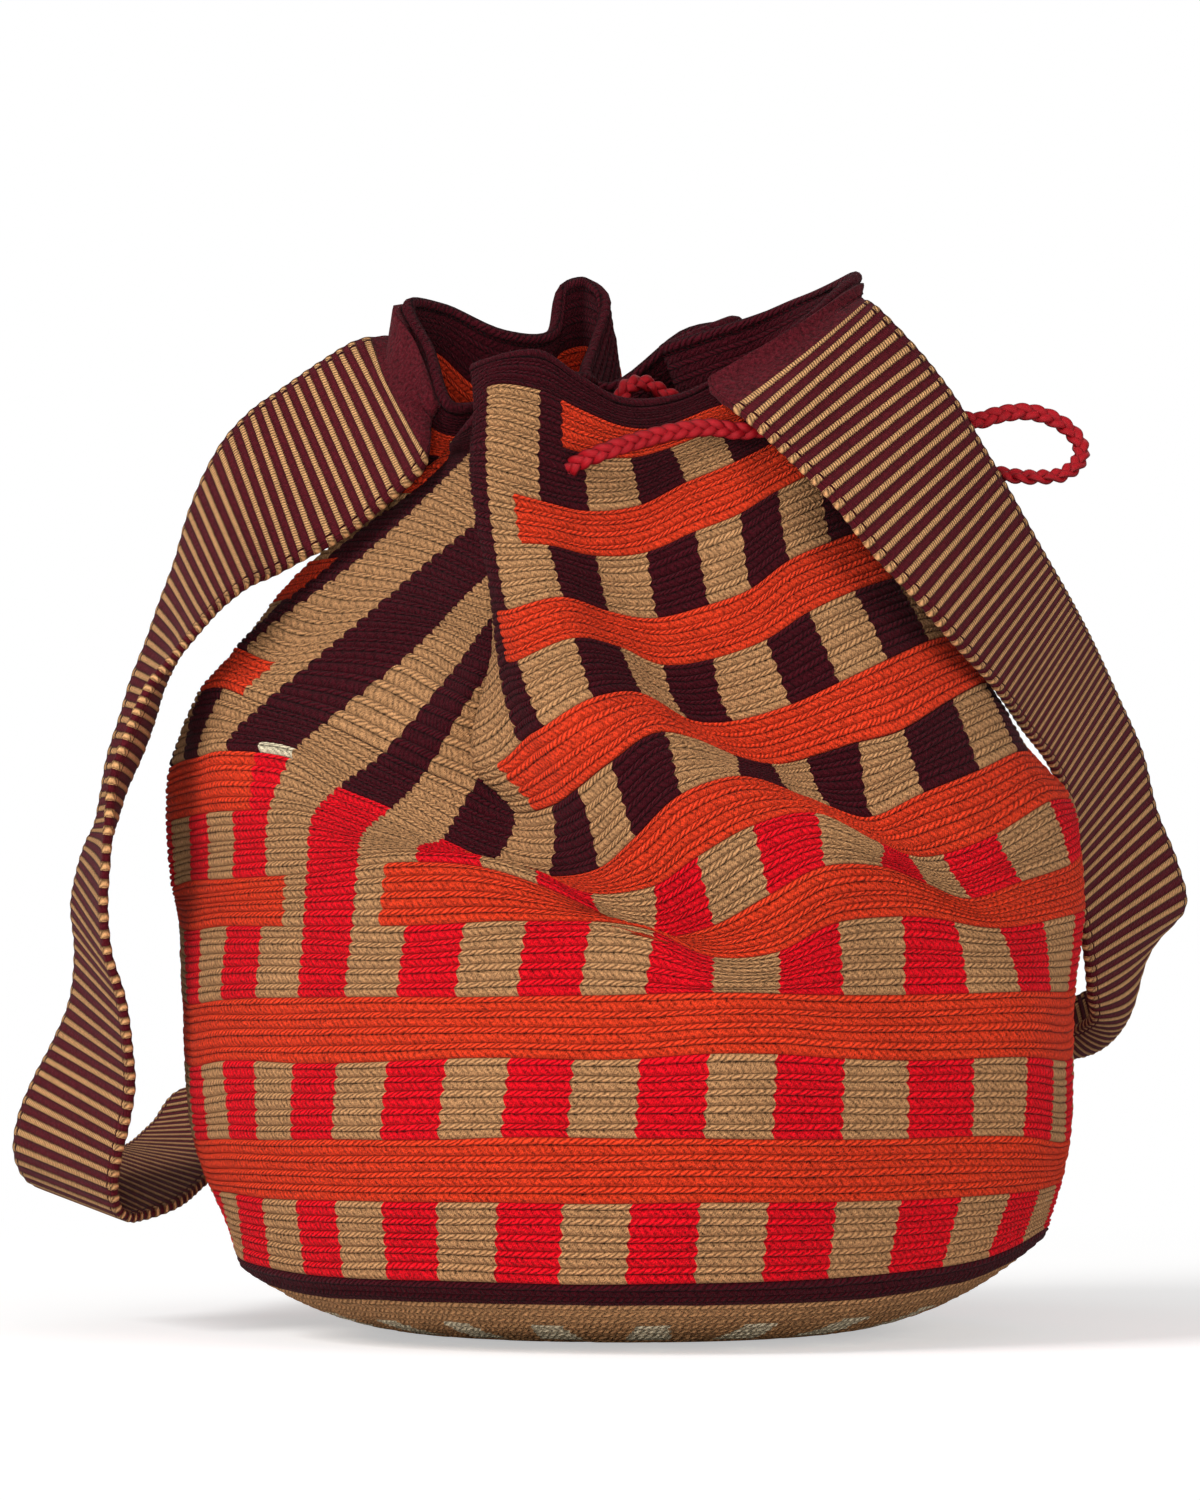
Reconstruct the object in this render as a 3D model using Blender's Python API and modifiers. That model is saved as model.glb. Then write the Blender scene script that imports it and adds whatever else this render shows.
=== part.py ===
"""Wayuu mochila bag: a crocheted bag whose soft mouth has slumped into pleats, its broad woven strap
and its braided leather drawstring. Metres, +Z up, the front faces -Y, and the origin is the middle of
the underside. Tables of points are in millimetres and are turned into metres by place()."""

import math

import bmesh
import bpy
import numpy as np

MM = 0.001

# The bag
BAG_WIDTH = 0.290
BAG_HEIGHT = 0.338
DRAWN_WIDTH = 290
DRAWN_HEIGHT = 338
WALL_THICKNESS = 0.003
COLUMNS = 42
COLUMN_STEP = 0.5
RIM_ROW = 76
FOLD_ROWS = (29.5, 34, 38.5)
BASE_EDGE_ROW = -14
FLAT_DISC_RADIUS = 0.054
BASE_ROUNDING = 2.3
NORMAL_STEP = 0.05
YARN_ROUGHNESS = 0.9

# The strap
STRAP_WIDTH = 0.066
STRAP_THICKNESS = 0.003
STRAP_RAILS = 7
STRAP_STEPS = 76
STRIPE_PERIOD = 0.0047
TAN_SHARE = 0.45
SEAM_CLEARANCE = 0.9 * MM
RIGHT_SEAM = (10.2, 13.4)
LEFT_SEAM = (32.5, 29.4)
SEAM_ROWS = (76.0, 74.4)

# The drawstring
CORD_DIAMETER = 0.005
CORD_POINTS = 46
CORD_SAMPLES = 1500
CORD_HOLE_CLEARANCE = 0.0014
HOLE_HALF_LENGTH = 0.010
WELD_DISTANCE = 0.01 * MM
LEATHER_ROUGHNESS = 0.45

# Rows of the bag where a band of orange begins and ends. From the third band on, a wedge is left open
# at the front: one column to each side of its middle, and one more at every further band.
ORANGE_BANDS = ((5, 9), (14, 18), (23, 27), (32, 36), (41, 45), (50, 54), (59, 63), (68, 72))
WEDGE_MIDDLE = 0.5
FIRST_WEDGE_BAND = 2
BURGUNDY_FROM_ROW = 36
RIM_FROM_ROW = 72
BASE_RING_ROW = -2
MOTIF_ROWS = (-9, -5)
CREAM_PATCH = (-1.5, -1.0, 36, 36.8)

TAN = (0.337, 0.165, 0.069)
RED = (0.539, 0.004, 0.010)
ORANGE = (0.552, 0.031, 0.011)
BURGUNDY = (0.053, 0.004, 0.006)
CREAM = (0.610, 0.515, 0.352)
STRAP_BURGUNDY = (0.044, 0.007, 0.007)
LEATHER_RED = (0.578, 0.013, 0.017)

# Rings of the outer surface, hand-placed: for each crochet row, (column, x, y, z)
RINGS = {
    0: [
        (-4, -124, -4, 26), (-2, -121, -38, 22), (0, -101, -76, 19), (2, -75, -101, 19),
        (4, -42, -118, 19), (6, -2, -126, 19), (8, 40, -119, 19), (10, 79, -97, 20), (12, 111, -63, 24),
        (14, 131, -22, 31), (17, 127, 30, 29), (20, 104, 76, 22), (23, 62, 108, 21), (26, 12, 123, 21),
        (29, -40, 117, 21), (32, -85, 90, 22), (35, -115, 48, 24)
    ],
    9: [
        (-4, -137, -22, 61), (-2, -125, -62, 63), (0, -105, -92, 64), (2, -77, -116, 65),
        (4, -40, -133, 66), (6, 1, -139, 66), (8, 43, -134, 66), (10, 85, -112, 65), (12, 122, -80, 64),
        (14, 137, -45, 62), (17, 138, 12, 67), (20, 120, 70, 67), (23, 76, 116, 67), (26, 16, 137, 67),
        (29, -46, 128, 67), (32, -100, 94, 67), (35, -133, 40, 67)
    ],
    18: [
        (-4, -140, -22, 106), (-2, -128, -60, 108), (0, -103, -96, 109), (2, -72, -122, 110),
        (4, -35, -136, 111), (6, 4, -141, 111), (8, 45, -137, 111), (10, 84, -118, 111),
        (12, 121, -92, 111), (14, 138, -48, 110), (17, 140, 8, 113), (20, 124, 70, 113),
        (23, 80, 118, 113), (26, 20, 140, 113), (29, -44, 132, 113), (32, -100, 98, 112),
        (35, -138, 44, 111)
    ],
    23: [
        (-4, -141, -20, 129), (-2, -126, -62, 131), (0, -101, -99, 132), (2, -69, -125, 132),
        (4, -32, -138, 134), (6, 7, -140, 131), (7, 25, -139, 123), (8, 45, -139, 124),
        (9, 63, -135, 133), (10, 83, -121, 135), (12, 114, -95, 131), (14, 140, -52, 134),
        (17, 141, 4, 138), (20, 128, 66, 139), (23, 84, 116, 140), (26, 24, 138, 140),
        (29, -40, 130, 139), (32, -98, 98, 138), (35, -138, 42, 136)
    ],
    27: [
        (-4, -139, -28, 144), (-2, -124, -68, 146), (0, -100, -101, 148), (2, -66, -128, 152),
        (3, -46, -136, 151), (4, -29, -140, 146), (5, -10, -139, 137), (6, 7, -138, 129),
        (7, 25, -140, 132), (8, 42, -141, 141), (9, 59, -137, 150), (10, 77, -127, 150),
        (11, 91, -118, 145), (12, 105, -108, 140), (13, 121, -92, 145), (14, 138, -60, 150),
        (16, 141, -22, 158), (19, 131, 42, 160), (22, 99, 100, 162), (25, 44, 132, 162),
        (28, -20, 132, 161), (31, -82, 106, 159), (34, -124, 58, 157), (36, -145, 4, 143)
    ],
    32: [
        (-4, -139, -34, 165), (-2, -124, -71, 167), (0, -98, -100, 166), (1, -82, -113, 161),
        (2, -64, -124, 157), (3, -47, -131, 153), (4, -29, -137, 149), (5, -12, -141, 142),
        (6, 7, -146, 144), (7, 20, -147, 153), (8, 37, -142, 163), (9, 56, -132, 167),
        (10, 76, -122, 158), (11, 85, -116, 154), (12, 96, -108, 154), (13, 113, -94, 160),
        (14, 131, -68, 170), (15, 139, -40, 171), (17, 131, 2, 177), (20, 122, 62, 180),
        (23, 78, 106, 181), (26, 20, 122, 180), (29, -42, 116, 179), (32, -98, 82, 177),
        (34, -126, 46, 176), (36, -147, 2, 164)
    ],
    36: [
        (-4, -141, -28, 183), (-3, -136, -44, 184), (-2, -127, -58, 186), (-1, -106, -76, 184),
        (0, -90, -96, 175), (1, -74, -110, 168), (2, -58, -120, 159), (3, -42, -127, 152),
        (4, -25, -133, 148), (5, -10, -142, 150), (6, 1, -148, 159), (7, 15, -146, 172),
        (8, 33, -136, 178), (9, 48, -124, 174), (10, 61, -116, 169), (11, 74, -111, 166),
        (12, 90, -104, 173), (13, 108, -90, 180), (14, 121, -68, 186), (15, 126, -44, 186),
        (17, 117, 2, 193), (20, 104, 56, 197), (23, 66, 92, 198), (26, 14, 104, 198),
        (29, -42, 98, 196), (32, -92, 70, 194), (34, -120, 38, 192), (36, -145, 0, 181)
    ],
    41: [
        (-5, -136, -12, 205), (-4, -135, -28, 205), (-3, -128, -38, 206), (-2, -115, -50, 201),
        (-1, -95, -72, 195), (0, -76, -90, 186), (1, -63, -98, 180), (2, -49, -104, 174),
        (3, -36, -112, 167), (4, -24, -132, 169), (5, -16, -141, 174), (6, -6, -143, 182),
        (7, 10, -136, 192), (8, 31, -118, 185), (9, 43, -111, 182), (10, 54, -108, 184),
        (11, 70, -108, 189), (12, 84, -103, 193), (13, 100, -86, 202), (14, 111, -64, 207),
        (15, 114, -40, 206), (17, 106, -4, 212), (19, 98, 36, 215), (21, 76, 66, 217),
        (23, 48, 80, 217), (26, 4, 84, 217), (29, -42, 80, 214), (32, -84, 58, 210),
        (34, -112, 32, 208)
    ],
    45: [
        (-5, -125, 0, 218), (-4, -124, -12, 218), (-3, -122, -22, 218), (-2.5, -112, -32, 214),
        (-2, -99, -44, 215), (-1, -73, -64, 213), (0, -59, -80, 206), (1, -50, -90, 202),
        (2.2, -34, -84, 193), (3, -48, -98, 180), (3.7, -38, -116, 184), (4, -34, -122, 188),
        (5, -27, -132, 193), (6, -12, -134, 202), (7, 3, -124, 204), (8, 17, -112, 196),
        (9, 31, -107, 195), (10, 49, -107, 200), (11, 64, -105, 207), (12, 79, -97, 214),
        (13, 93, -80, 220), (14, 101, -58, 222), (15.5, 94, -26, 224), (17, 88, 4, 230),
        (18.5, 74, 30, 233), (20, 66, 40, 234), (21.5, 52, 56, 235), (23, 34, 60, 236),
        (25, 10, 72, 236), (27, -16, 66, 235), (29, -40, 72, 233), (31, -66, 56, 230),
        (33, -92, 42, 227), (35, -112, 18, 224)
    ],
    54: [
        (-5, -101, 4, 246), (-4, -97, -4, 247), (-3, -86, -14, 247), (-2, -67, -36, 243),
        (-1, -50, -56, 236), (0.2, -36, -64, 232), (1.4, -18, -66, 225), (2.2, -20, -76, 222),
        (3.4, -40, -92, 226), (4.5, -41, -112, 229), (5, -38, -118, 229), (6, -21, -120, 233),
        (7, -7, -108, 229), (8, 8, -101, 227), (9, 24, -101, 231), (10, 37, -101, 236),
        (11, 49, -97, 245), (12, 62, -86, 251), (13, 75, -68, 256), (14, 82, -46, 258),
        (15.5, 72, -18, 262), (17, 54, 8, 260), (18.2, 58, 26, 259), (19.5, 48, 38, 258),
        (21, 26, 34, 258), (22.5, 8, 44, 257), (23.5, 2, 60, 258), (24.8, -10, 68, 258),
        (26, -24, 60, 257), (27.4, -38, 48, 256), (29, -58, 50, 256), (30.5, -76, 44, 256),
        (32, -88, 30, 256), (33.4, -76, 16, 251), (34.6, -68, 8, 248), (35.8, -78, 2, 247)
    ],
    63: [
        (-4.8, -48, -8, 284), (-4, -60, -4, 276), (-3, -55, -20, 276), (-1.8, -36, -34, 266),
        (-0.4, -14, -46, 257), (0.8, 2, -58, 252), (1.8, 0, -68, 250), (3, -20, -82, 254),
        (4, -42, -97, 265), (4.6, -49, -106, 268), (5, -44, -111, 267), (6, -28, -108, 263),
        (7, -13, -101, 260), (8, 3, -95, 262), (9, 17, -93, 269), (10, 32, -91, 275),
        (11, 44, -84, 281), (12, 58, -75, 289), (13, 68, -61, 296), (14.2, 74, -36, 303),
        (15.4, 54, -4, 288), (16.6, 32, 10, 280), (17.6, 26, 18, 277), (18.8, 44, 28, 280),
        (19.8, 42, 38, 279), (21, 22, 36, 276), (22.2, 4, 26, 270), (23, -2, 34, 272), (24, 0, 52, 280),
        (25, -12, 64, 284), (26, -24, 56, 281), (27, -32, 50, 274), (28, -48, 44, 274),
        (29.4, -69, 38, 280), (31, -82, 19, 278), (32.6, -73, 4, 272), (34, -50, 1, 272),
        (35.4, -30, -6, 280), (36.4, -34, -12, 282)
    ],
    72: [
        (-4.8, -38, -12, 298), (-4, -56, -18, 284), (-3.3, -52, -28, 284), (-2, -32, -38, 290),
        (-0.4, -8, -48, 279), (0.8, 6, -58, 275), (1.8, 2, -68, 275), (3, -20, -80, 281),
        (4, -42, -92, 291), (4.6, -48, -99, 294), (5, -44, -104, 298), (6, -28, -104, 297),
        (7, -15, -99, 291), (8, -2, -94, 286), (9, 10, -90, 286), (10, 23, -86, 291),
        (11, 37, -81, 297), (12, 53, -72, 308), (13, 67, -57, 320), (14.2, 72, -26, 326),
        (15.4, 50, 6, 310), (16.6, 28, 14, 301), (17.6, 20, 20, 298), (18.8, 38, 30, 305),
        (19.8, 38, 40, 304), (21, 16, 36, 300), (22, 2, 22, 286), (22.8, -4, 24, 290),
        (23.6, -2, 40, 300), (24.4, -4, 56, 314), (25.2, -14, 66, 318), (26, -24, 58, 315),
        (27, -30, 50, 302), (28, -46, 42, 302), (29.4, -64, 35, 315), (30.4, -74, 21, 313),
        (31.6, -71, 5, 301), (32.8, -59, -5, 287), (34, -36, 0, 289), (35.2, -14, -8, 294),
        (36.2, -18, -16, 296)
    ],
    76: [
        (-4.8, -38, -12, 304), (-4, -54, -20, 286), (-3.3, -52, -29, 287), (-2, -32, -38, 302),
        (-0.4, -8, -48, 292), (0.8, 6, -58, 288), (1.8, 2, -68, 288), (3, -20, -78, 293),
        (4, -42, -86, 304), (4.6, -49, -92, 304), (5, -44, -97, 306), (6, -28, -100, 308),
        (7, -16, -96, 301), (8, -3, -91, 294), (9, 10, -86, 294), (10, 22, -80, 298),
        (11, 38, -75, 308), (12, 54, -67, 319), (13, 67, -53, 330), (14, 73, -30, 335),
        (15, 58, 6, 329), (16.4, 31, 14, 320), (17.6, 13, 20, 315), (18.8, 34, 30, 324),
        (19.8, 36, 40, 323), (21, 16, 36, 319), (22, -5, 24, 302), (22.6, -12, 28, 307),
        (23.4, -10, 42, 317), (24.2, -6, 56, 332), (25, -13, 66, 338), (25.8, -22, 62, 336),
        (27, -27, 50, 320), (28, -41, 42, 320), (29.2, -60, 36, 328), (30.2, -72, 22, 329),
        (31.4, -65, 6, 314), (32.6, -58, -8, 295), (34, -36, 0, 298), (35.2, -14, -8, 302),
        (36.2, -18, -16, 304)
    ],
}

# Stations of the strap, from the right seam to the left one: a point near its inner edge, a point near
# its outer edge, and how far its middle bows out of line. Its true width comes from STRAP_WIDTH.
STRAP_STATIONS = [
    (36, -98, 288, 78, -62, 325, 0),
    (50, -101, 274, 94, -62, 309, 0),
    (62, -102, 262, 103, -60, 297, 0),
    (74, -101, 246, 112, -55, 283, 0),
    (87, -98, 232, 120, -48, 270, 0),
    (100, -90, 219, 129, -38, 253, 0),
    (113, -72, 206, 138, -18, 239, 0),
    (124, -44, 194, 146, 8, 225, 0),
    (138, -7, 176, 158, 46, 203, 0),
    (143, 13, 158, 167, 64, 184, 0),
    (144, 24, 141, 173, 76, 165, 0),
    (147, 31, 128, 180, 83, 149, 0),
    (149, 37, 117, 183, 89, 135, 0),
    (150, 43, 107, 174, 101, 124, -3),
    (151, 52, 100, 166, 113, 114, -8),
    (149, 65, 97, 158, 127, 108, -12),
    (145, 80, 95, 154, 142, 105, -14),
    (120, 110, 98, 124, 172, 86, -10),
    (76, 140, 106, 80, 184, 60, -4),
    (18, 154, 110, 20, 182, 52, 0),
    (-38, 149, 106, -48, 181, 52, 0),
    (-80, 132, 96, -104, 178, 58, 0),
    (-105, 112, 85, -147, 158, 71, 0),
    (-119, 84, 66, -159, 136, 60, 0),
    (-129, 58, 54, -166, 112, 54, 0),
    (-137, 33, 46, -172, 88, 53, 0),
    (-145, 8, 40, -177, 64, 50, 0),
    (-154, -8, 37, -186, 50, 48, 0),
    (-158, -18, 37, -192, 40, 46, 0),
    (-161, -25, 40, -196, 32, 50, 0),
    (-162, -30, 47, -198, 26, 58, 0),
    (-161, -32, 56, -196, 24, 69, 0),
    (-159, -34, 66, -191, 22, 80, 0),
    (-157, -36, 79, -185, 22, 91, 0),
    (-158, -39, 92, -179, 20, 104, 0),
    (-160, -43, 108, -177, 18, 122, 0),
    (-164, -47, 122, -178, 15, 136, 0),
    (-165, -52, 137, -176, 12, 147, 0),
    (-164, -57, 152, -173, 8, 156, 1),
    (-163, -62, 165, -170, 4, 162, 3),
    (-162, -63, 177, -168, 2, 172, 5),
    (-158, -63, 189, -166, 2, 184, 7),
    (-154, -61, 199, -162, 4, 197, 7),
    (-150, -58, 207, -159, 8, 208, 6),
    (-144, -53, 214, -154, 12, 221, 4),
    (-139, -48, 220, -150, 16, 233, 2),
    (-133, -42, 227, -145, 20, 247, 0),
    (-127, -35, 233, -141, 23, 262, 0),
    (-120, -29, 238, -136, 24, 275, 0),
    (-113, -22, 241, -130, 24, 286, 0),
    (-104, -17, 246, -122, 24, 295, 0),
    (-90, -16, 253, -112, 24, 303, 0),
    (-76, -18, 264, -99, 24, 312, 0),
    (-65, -22, 275, -88, 24, 318, 0),
]

# Route of the drawstring: from inside the neck out through the front wall, up along the outside and under
# the strap, out to the free loop at the right, back in through the wall, and across the mouth
CORD_ROUTE = [
    (-33, -107, 243), (-31, -103, 252), (-28, -98, 260), (-23, -96, 267), (-17, -103, 274), (-8, -106, 278),
    (4, -101, 282), (16, -96, 285), (26, -93, 286), (34, -90, 285), (42, -87, 286), (56, -83, 290),
    (69, -70, 297), (83, -52, 297), (97, -42, 294), (110, -38, 290), (117, -36, 292), (126, -34, 293), (134, -32, 291),
    (140, -32, 287), (143, -35, 282), (142, -40, 277), (137, -44, 273), (129, -46, 272), (118, -43, 273),
    (106, -38, 277), (95, -34, 284), (85, -31, 293), (77, -30, 299), (70, -30, 303), (62, -30, 305),
    (50, -31, 302), (37, -32, 297), (24, -33, 295), (13, -34, 298), (5, -37, 302), (-1, -42, 300),
    (-3, -44, 292),
]
CORD_CROSSINGS = (4, 29)


def place(points):
    """Millimetres as drawn, turned into metres on a bag of the stated width and height."""
    scale = np.array([BAG_WIDTH / DRAWN_WIDTH, BAG_WIDTH / DRAWN_WIDTH, BAG_HEIGHT / DRAWN_HEIGHT])
    return np.asarray(points, float) * scale


def spline(knots, values, at):
    """Smooth curve through values at the knots, with the slope at each knot read from its neighbours."""
    step = np.diff(knots)[:, None]
    rise = np.diff(values, axis=0) / step
    slope = np.empty_like(values)
    slope[1:-1] = (step[1:] * rise[:-1] + step[:-1] * rise[1:]) / (step[:-1] + step[1:])
    slope[0] = rise[0]
    slope[-1] = rise[-1]
    i = np.clip(np.searchsorted(knots, at, "right") - 1, 0, len(knots) - 2)
    t = ((at - knots[i]) / (knots[i + 1] - knots[i]))[:, None]
    h = step[i]
    start = (2 * t**3 - 3 * t**2 + 1) * values[i] + (t**3 - 2 * t**2 + t) * h * slope[i]
    end = (3 * t**2 - 2 * t**3) * values[i + 1] + (t**3 - t**2) * h * slope[i + 1]
    return start + end


def ring(row, columns):
    """Points of one drawn ring at the given columns."""
    table = np.array(RINGS[row], float)
    knots = table[:, 0]
    points = table[:, 1:]
    knots = np.concatenate([knots[-2:] - COLUMNS, knots, knots[:3] + COLUMNS])
    points = np.concatenate([points[-2:], points, points[:3]])
    first = table[0, 0]
    return place(spline(knots, points, (columns - first) % COLUMNS + first))


def wall(columns, rows):
    """Outer surface of the bag's wall, as an array [row, column, xyz]."""
    drawn = sorted(RINGS)
    rings = np.array([ring(row, columns) for row in drawn])
    flat = spline(np.array(drawn, float), rings.reshape(len(drawn), -1), np.asarray(rows, float))
    return flat.reshape(len(rows), len(columns), 3)


def wall_point(column, row, out=0.0):
    """A point that stands `out` off the wall's outer surface."""
    near = np.array([-NORMAL_STEP, 0, NORMAL_STEP])
    patch = wall(column + near, row + near)
    normal = np.cross(patch[1, 2] - patch[1, 0], patch[2, 1] - patch[0, 1])
    return patch[1, 1] + out * normal / np.linalg.norm(normal)


def base(columns, rows):
    """Rings of the rounded base, from the wall's first row in to the flat disc it stands on."""
    edge = wall(columns, [0.0])[0]
    middle = edge.mean(axis=0) * (1, 1, 0)
    outward = (edge - middle) * (1, 1, 0)
    disc = middle + FLAT_DISC_RADIUS * outward / np.linalg.norm(outward, axis=1)[:, None]
    rings = []
    for row in rows:
        inward = row / BASE_EDGE_ROW
        points = edge * (1 - inward) + disc * inward
        points[:, 2] = edge[:, 2] * (1 - inward) ** BASE_ROUNDING
        rings.append(points)
    return np.array(rings)


def in_wedge(column, band):
    across = (column - WEDGE_MIDDLE + COLUMNS / 2) % COLUMNS - COLUMNS / 2
    return abs(across) < 1 + band - FIRST_WEDGE_BAND


def colour_name(column, row):
    """Colour of the crochet at a column and a row."""
    even = math.floor(column) % 2 == 0
    if row < 0:
        motif = MOTIF_ROWS[0] < row < MOTIF_ROWS[1] and even
        return "burgundy" if row > BASE_RING_ROW else "cream" if motif else "tan"
    if row > RIM_FROM_ROW:
        return "burgundy"
    left, right, low, high = CREAM_PATCH
    if low < row < high and left < (column + COLUMNS / 2) % COLUMNS - COLUMNS / 2 < right:
        return "cream"
    for band, (start, end) in enumerate(ORANGE_BANDS):
        if start < row < end and not in_wedge(column, band):
            return "orange"
    if not even:
        return "tan"
    return "red" if row < BURGUNDY_FROM_ROW else "burgundy"


def material(name, colour, roughness):
    made = bpy.data.materials.new(name)
    made.use_nodes = True
    shader = made.node_tree.nodes["Principled BSDF"]
    shader.inputs["Base Color"].default_value = (*colour, 1.0)
    shader.inputs["Roughness"].default_value = roughness
    made.diffuse_color = (*colour, 1.0)
    return made


def striped_material():
    """Tan and burgundy stripes across the strap, counted along its length by the UV's second value."""
    made = material("strap_stripes", STRAP_BURGUNDY, YARN_ROUGHNESS)
    nodes = made.node_tree.nodes
    links = made.node_tree.links
    place_on = nodes.new("ShaderNodeUVMap")
    apart = nodes.new("ShaderNodeSeparateXYZ")
    period = nodes.new("ShaderNodeMath")
    period.operation = "WRAP"
    period.inputs[1].default_value = STRIPE_PERIOD
    period.inputs[2].default_value = 0.0
    is_tan = nodes.new("ShaderNodeMath")
    is_tan.operation = "LESS_THAN"
    is_tan.inputs[1].default_value = TAN_SHARE * STRIPE_PERIOD
    mix = nodes.new("ShaderNodeMix")
    mix.data_type = "RGBA"
    mix.inputs["A"].default_value = (*STRAP_BURGUNDY, 1.0)
    mix.inputs["B"].default_value = (*TAN, 1.0)
    links.new(place_on.outputs["UV"], apart.inputs[0])
    links.new(apart.outputs["Y"], period.inputs[0])
    links.new(period.outputs[0], is_tan.inputs[0])
    links.new(is_tan.outputs[0], mix.inputs["Factor"])
    links.new(mix.outputs["Result"], nodes["Principled BSDF"].inputs["Base Color"])
    return made


def new_object(name, mesh, collection):
    made = bpy.data.objects.new(name, mesh)
    collection.objects.link(made)
    return made


def add_solidify(target, thickness, offset):
    solidify = target.modifiers.new("thickness", "SOLIDIFY")
    solidify.thickness = thickness
    solidify.offset = offset


def make_bag_body(collection):
    """The crocheted bag: one open surface, given its wall by Solidify."""
    columns = np.arange(0, COLUMNS, COLUMN_STEP)
    band_rows = {row for band in ORANGE_BANDS for row in band}
    wall_rows = sorted({0, RIM_ROW, *FOLD_ROWS} | band_rows)
    base_rows = [BASE_EDGE_ROW, MOTIF_ROWS[0], MOTIF_ROWS[1], BASE_RING_ROW]
    rows = base_rows + wall_rows
    grid = np.concatenate([base(columns, base_rows), wall(columns, wall_rows)])
    names = ["tan", "red", "orange", "burgundy", "cream"]
    colours = dict(zip(names, (TAN, RED, ORANGE, BURGUNDY, CREAM)))
    shape = bmesh.new()
    verts = [[shape.verts.new(point) for point in line] for line in grid]
    disc = shape.faces.new(list(reversed(verts[0])))
    disc.material_index = names.index("tan")
    for i in range(len(rows) - 1):
        for j in range(len(columns)):
            k = (j + 1) % len(columns)
            face = shape.faces.new((verts[i][j], verts[i][k], verts[i + 1][k], verts[i + 1][j]))
            middle = columns[j] + COLUMN_STEP / 2
            face.material_index = names.index(colour_name(middle, (rows[i] + rows[i + 1]) / 2))
            face.smooth = True
    mesh = bpy.data.meshes.new("bag_body")
    shape.to_mesh(mesh)
    shape.free()
    for name in names:
        mesh.materials.append(material("yarn_" + name, colours[name], YARN_ROUGHNESS))
    body = new_object("bag_body", mesh, collection)
    add_solidify(body, WALL_THICKNESS, -1)
    return body


def seam_section(seam, row):
    """Strap section sewn along the rim: one point for each rail, just off the wall."""
    out = STRAP_THICKNESS / 2 + SEAM_CLEARANCE
    return np.array([wall_point(column, row, out) for column in np.linspace(*seam, STRAP_RAILS)])


def free_section(before, station, after):
    """Strap section of full width at a free station, bowed across its width by the station's last value."""
    inner, outer = place(station[:3]), place(station[3:6])
    middle = (inner + outer) / 2
    across = (outer - inner) / np.linalg.norm(outer - inner)
    travel = place(after[:3]) + place(after[3:6]) - place(before[:3]) - place(before[3:6])
    bow = np.cross(across, travel)
    bow *= station[6] * MM / np.linalg.norm(bow)
    share = np.linspace(-1, 1, STRAP_RAILS)[:, None]
    return middle + share * across * STRAP_WIDTH / 2 + (1 - share**2) * bow


def strap_sections():
    """Sections of the strap from its seam at the right, round behind the bag, to its seam at the left."""
    stations = STRAP_STATIONS
    right = [seam_section(RIGHT_SEAM, row) for row in SEAM_ROWS]
    left = [seam_section(LEFT_SEAM, row) for row in reversed(SEAM_ROWS)]
    last = len(stations) - 1
    free = [
        free_section(stations[max(i - 1, 0)], stations[i], stations[min(i + 1, last)])
        for i in range(len(stations))
    ]
    sections = np.array(right + free + left)
    walked = np.linalg.norm(np.diff(sections.mean(axis=1), axis=0), axis=1)
    along = np.concatenate([[0], np.cumsum(walked)])
    at = np.linspace(0, along[-1], STRAP_STEPS + 1)
    # The second section from each end is where the sewn part stops, so it stays as it was placed.
    at[1] = along[1]
    at[-2] = along[-2]
    smooth = spline(along, sections.reshape(len(sections), -1), at)
    return at, smooth.reshape(len(at), STRAP_RAILS, 3)


def make_strap(collection):
    """The woven strap: a band of constant width, swept through its sections and given its thickness."""
    along, sections = strap_sections()
    shape = bmesh.new()
    uv = shape.loops.layers.uv.new("strap")
    verts = [[shape.verts.new(point) for point in section] for section in sections]
    for i in range(len(verts) - 1):
        for j in range(STRAP_RAILS - 1):
            face = shape.faces.new((verts[i][j], verts[i][j + 1], verts[i + 1][j + 1], verts[i + 1][j]))
            face.smooth = True
            for loop, (a, b) in zip(face.loops, ((i, j), (i, j + 1), (i + 1, j + 1), (i + 1, j))):
                loop[uv].uv = (STRAP_WIDTH * b / (STRAP_RAILS - 1), along[a])
    mesh = bpy.data.meshes.new("strap")
    shape.to_mesh(mesh)
    shape.free()
    mesh.materials.append(striped_material())
    strap = new_object("strap", mesh, collection)
    add_solidify(strap, STRAP_THICKNESS, 0)
    return strap


def cord_curve(name, points, radius, collection):
    """A round tube along points, as a curve with filled caps."""
    curve = bpy.data.curves.new(name, "CURVE")
    curve.dimensions = "3D"
    curve.bevel_depth = radius
    curve.bevel_resolution = 2
    curve.use_fill_caps = True
    line = curve.splines.new("POLY")
    line.points.add(len(points) - 1)
    for point, target in zip(points, line.points):
        target.co = (*point, 1.0)
    return new_object(name, curve, collection)


def cord_path():
    """Evenly spaced points on the smooth curve through the drawstring's route."""
    route = place(CORD_ROUTE)
    knots = np.concatenate([[0], np.cumsum(np.linalg.norm(np.diff(route, axis=0), axis=1))])
    dense = spline(knots, route, np.linspace(0, knots[-1], CORD_SAMPLES))
    walked = np.concatenate([[0], np.cumsum(np.linalg.norm(np.diff(dense, axis=0), axis=1))])
    even = np.linspace(0, walked[-1], CORD_POINTS)
    return np.array([np.interp(even, walked, dense[:, axis]) for axis in range(3)]).T


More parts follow.
